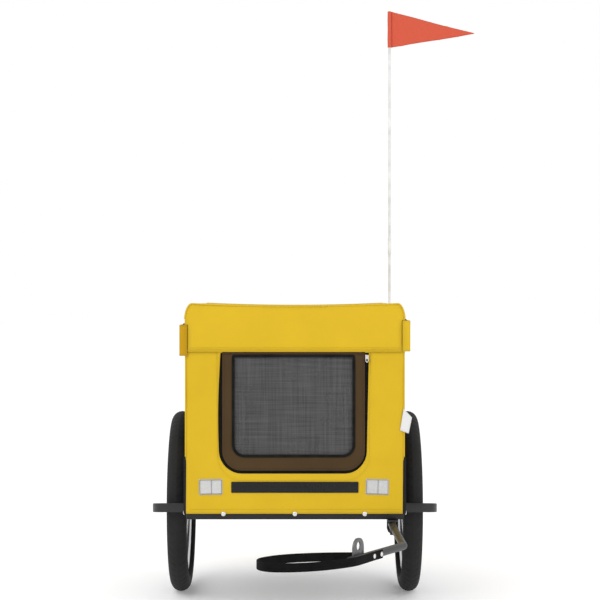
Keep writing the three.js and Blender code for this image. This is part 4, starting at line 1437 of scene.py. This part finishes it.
def add_arm():
    line = bent([(199, -315, ARM_Z), (*ARM_BEND, ARM_Z), (*ARM_END, ARM_Z)], 14, 12)
    tube = sweep_object("arm_tube", line, round_section(ARM_R, 32), (0, 0, 1), "grey_metal")
    slope = (ARM_BEND[0] - 199) / (-315 - ARM_BEND[1])
    sleeve_line = [(199 + slope * t, -315 - t, ARM_Z) for t in range(39, 110, 6)]
    sleeve = sweep_object("arm_sleeve", sleeve_line, round_section(ARM_R + 0.6, 32), (0, 0, 1),
                          "black_plastic")
    end = Vector((*ARM_END, ARM_Z))
    cap_line = [end - RUN * 14, end - RUN * 4, end, end + RUN * 1.5]
    cap = sweep_object("arm_cap", cap_line, round_section(ARM_R + 0.5, 32), (0, 0, 1), "black_plastic")
    rigid(merge("tow_arm_finished", [tube, bevelled(sleeve, 0.4), bevelled(cap, 0.4)]), "arm",
          "grey_metal", "tow_arm")
    refined("hitch_eye_plate", "plate_metal", "arm", "grey_metal", 0.7)


def smooth_line(points, per_span=6):
    """A smooth line through points (Catmull-Rom)."""
    p = [Vector(q) for q in points]
    p = [2 * p[0] - p[1]] + p + [2 * p[-1] - p[-2]]
    line = []
    for a, b, c, d in zip(p, p[1:], p[2:], p[3:]):
        for i in range(per_span):
            t = i / per_span
            line.append(0.5 * (2 * b + (c - a) * t + (2 * a - 5 * b + 4 * c - d) * t * t
                               + (3 * b - a - 3 * c + d) * t ** 3))
    line.append(p[-2])
    return line


def add_strap():
    line = smooth_line([(x, y, ARM_Z) for x, y in STRAP_ROUTE])
    section = flat_section(STRAP_THICKNESS, STRAP_WIDTH, 1.0)
    made = sweep_object("safety_strap_webbing", line, section, (0, 0, 1), "webbing")
    rigid(made, "arm", "webbing", "safety_strap")
    for along in (5, 34):
        spot = Vector((*STRAP_ROUTE[0], ARM_Z)) + RUN * along + OUTWARD * (STRAP_THICKNESS / 2)
        vertices, faces = lathed(dome(4.5, 1.8, 0, 1), 24, (0, 0, 0), "y")
        turn = Vector((0, 1, 0)).rotation_difference(OUTWARD).to_matrix()
        placed = [spot + turn @ Vector(v) for v in vertices]
        head = new_object(f"strap_rivet_{along}", placed, faces, ["steel"])
        face_outward(head)
        rigid(head, "arm", "steel")


add_arm()
add_strap()


# Flag ----------------------------------------------------------------------------------------

FLAG_AT = (229.5, 318)
POLE_R = 3
POLE_TOP = 1348
POLE_FOOT = 204
PENNANT_HOIST = 87
PENNANT_FLY = 201


def add_flag():
    x, y = FLAG_AT
    profile = [(0.01, POLE_FOOT), (POLE_R - 0.6, POLE_FOOT), (POLE_R, POLE_FOOT + 1.5)]
    profile += [(POLE_R, 760), (POLE_R + 0.9, 761), (POLE_R + 0.9, 799), (POLE_R, 800)]
    profile += [(POLE_R, POLE_TOP - 4), (POLE_R - 0.8, POLE_TOP - 1.2), (0.01, POLE_TOP - 1)]
    pole = lathe_object("flag_pole_finished", profile, 24, (x, y, 0), "z", "white_plastic")
    rigid(pole, "flag", "white_plastic", "flag_pole")
    hoist = [(0, POLE_TOP - PENNANT_HOIST), (PENNANT_FLY, POLE_TOP - 54), (PENNANT_FLY, POLE_TOP - 52),
             (0, POLE_TOP)]

    def place(u, v):
        sway = 3.2 * math.sin(u / 26 + v / 60) * min(1, u / 60)
        return x + u + POLE_R + 0.6, y + sway, v

    made = panel("pennant_cloth", hoist, [], place, FRONT, ["flag", "flag"], thickness=0.7, wave=0.8,
                 seed=41, step=5)
    rigid(made, "flag", "flag", "pennant")
    low, high = POLE_TOP - PENNANT_HOIST, POLE_TOP + 0.6
    sleeve = [(POLE_R + 0.5, low), (POLE_R + 1.5, low + 0.6), (POLE_R + 1.9, low + 20),
              (POLE_R + 1.5, low + 44), (POLE_R + 1.9, high - 20), (POLE_R + 1.5, high - 0.6),
              (POLE_R + 0.5, high)]
    rigid(lathe_object("pennant_sleeve", sleeve, 24, (x, y, 0), "z", "flag"), "flag", "flag")


add_flag()
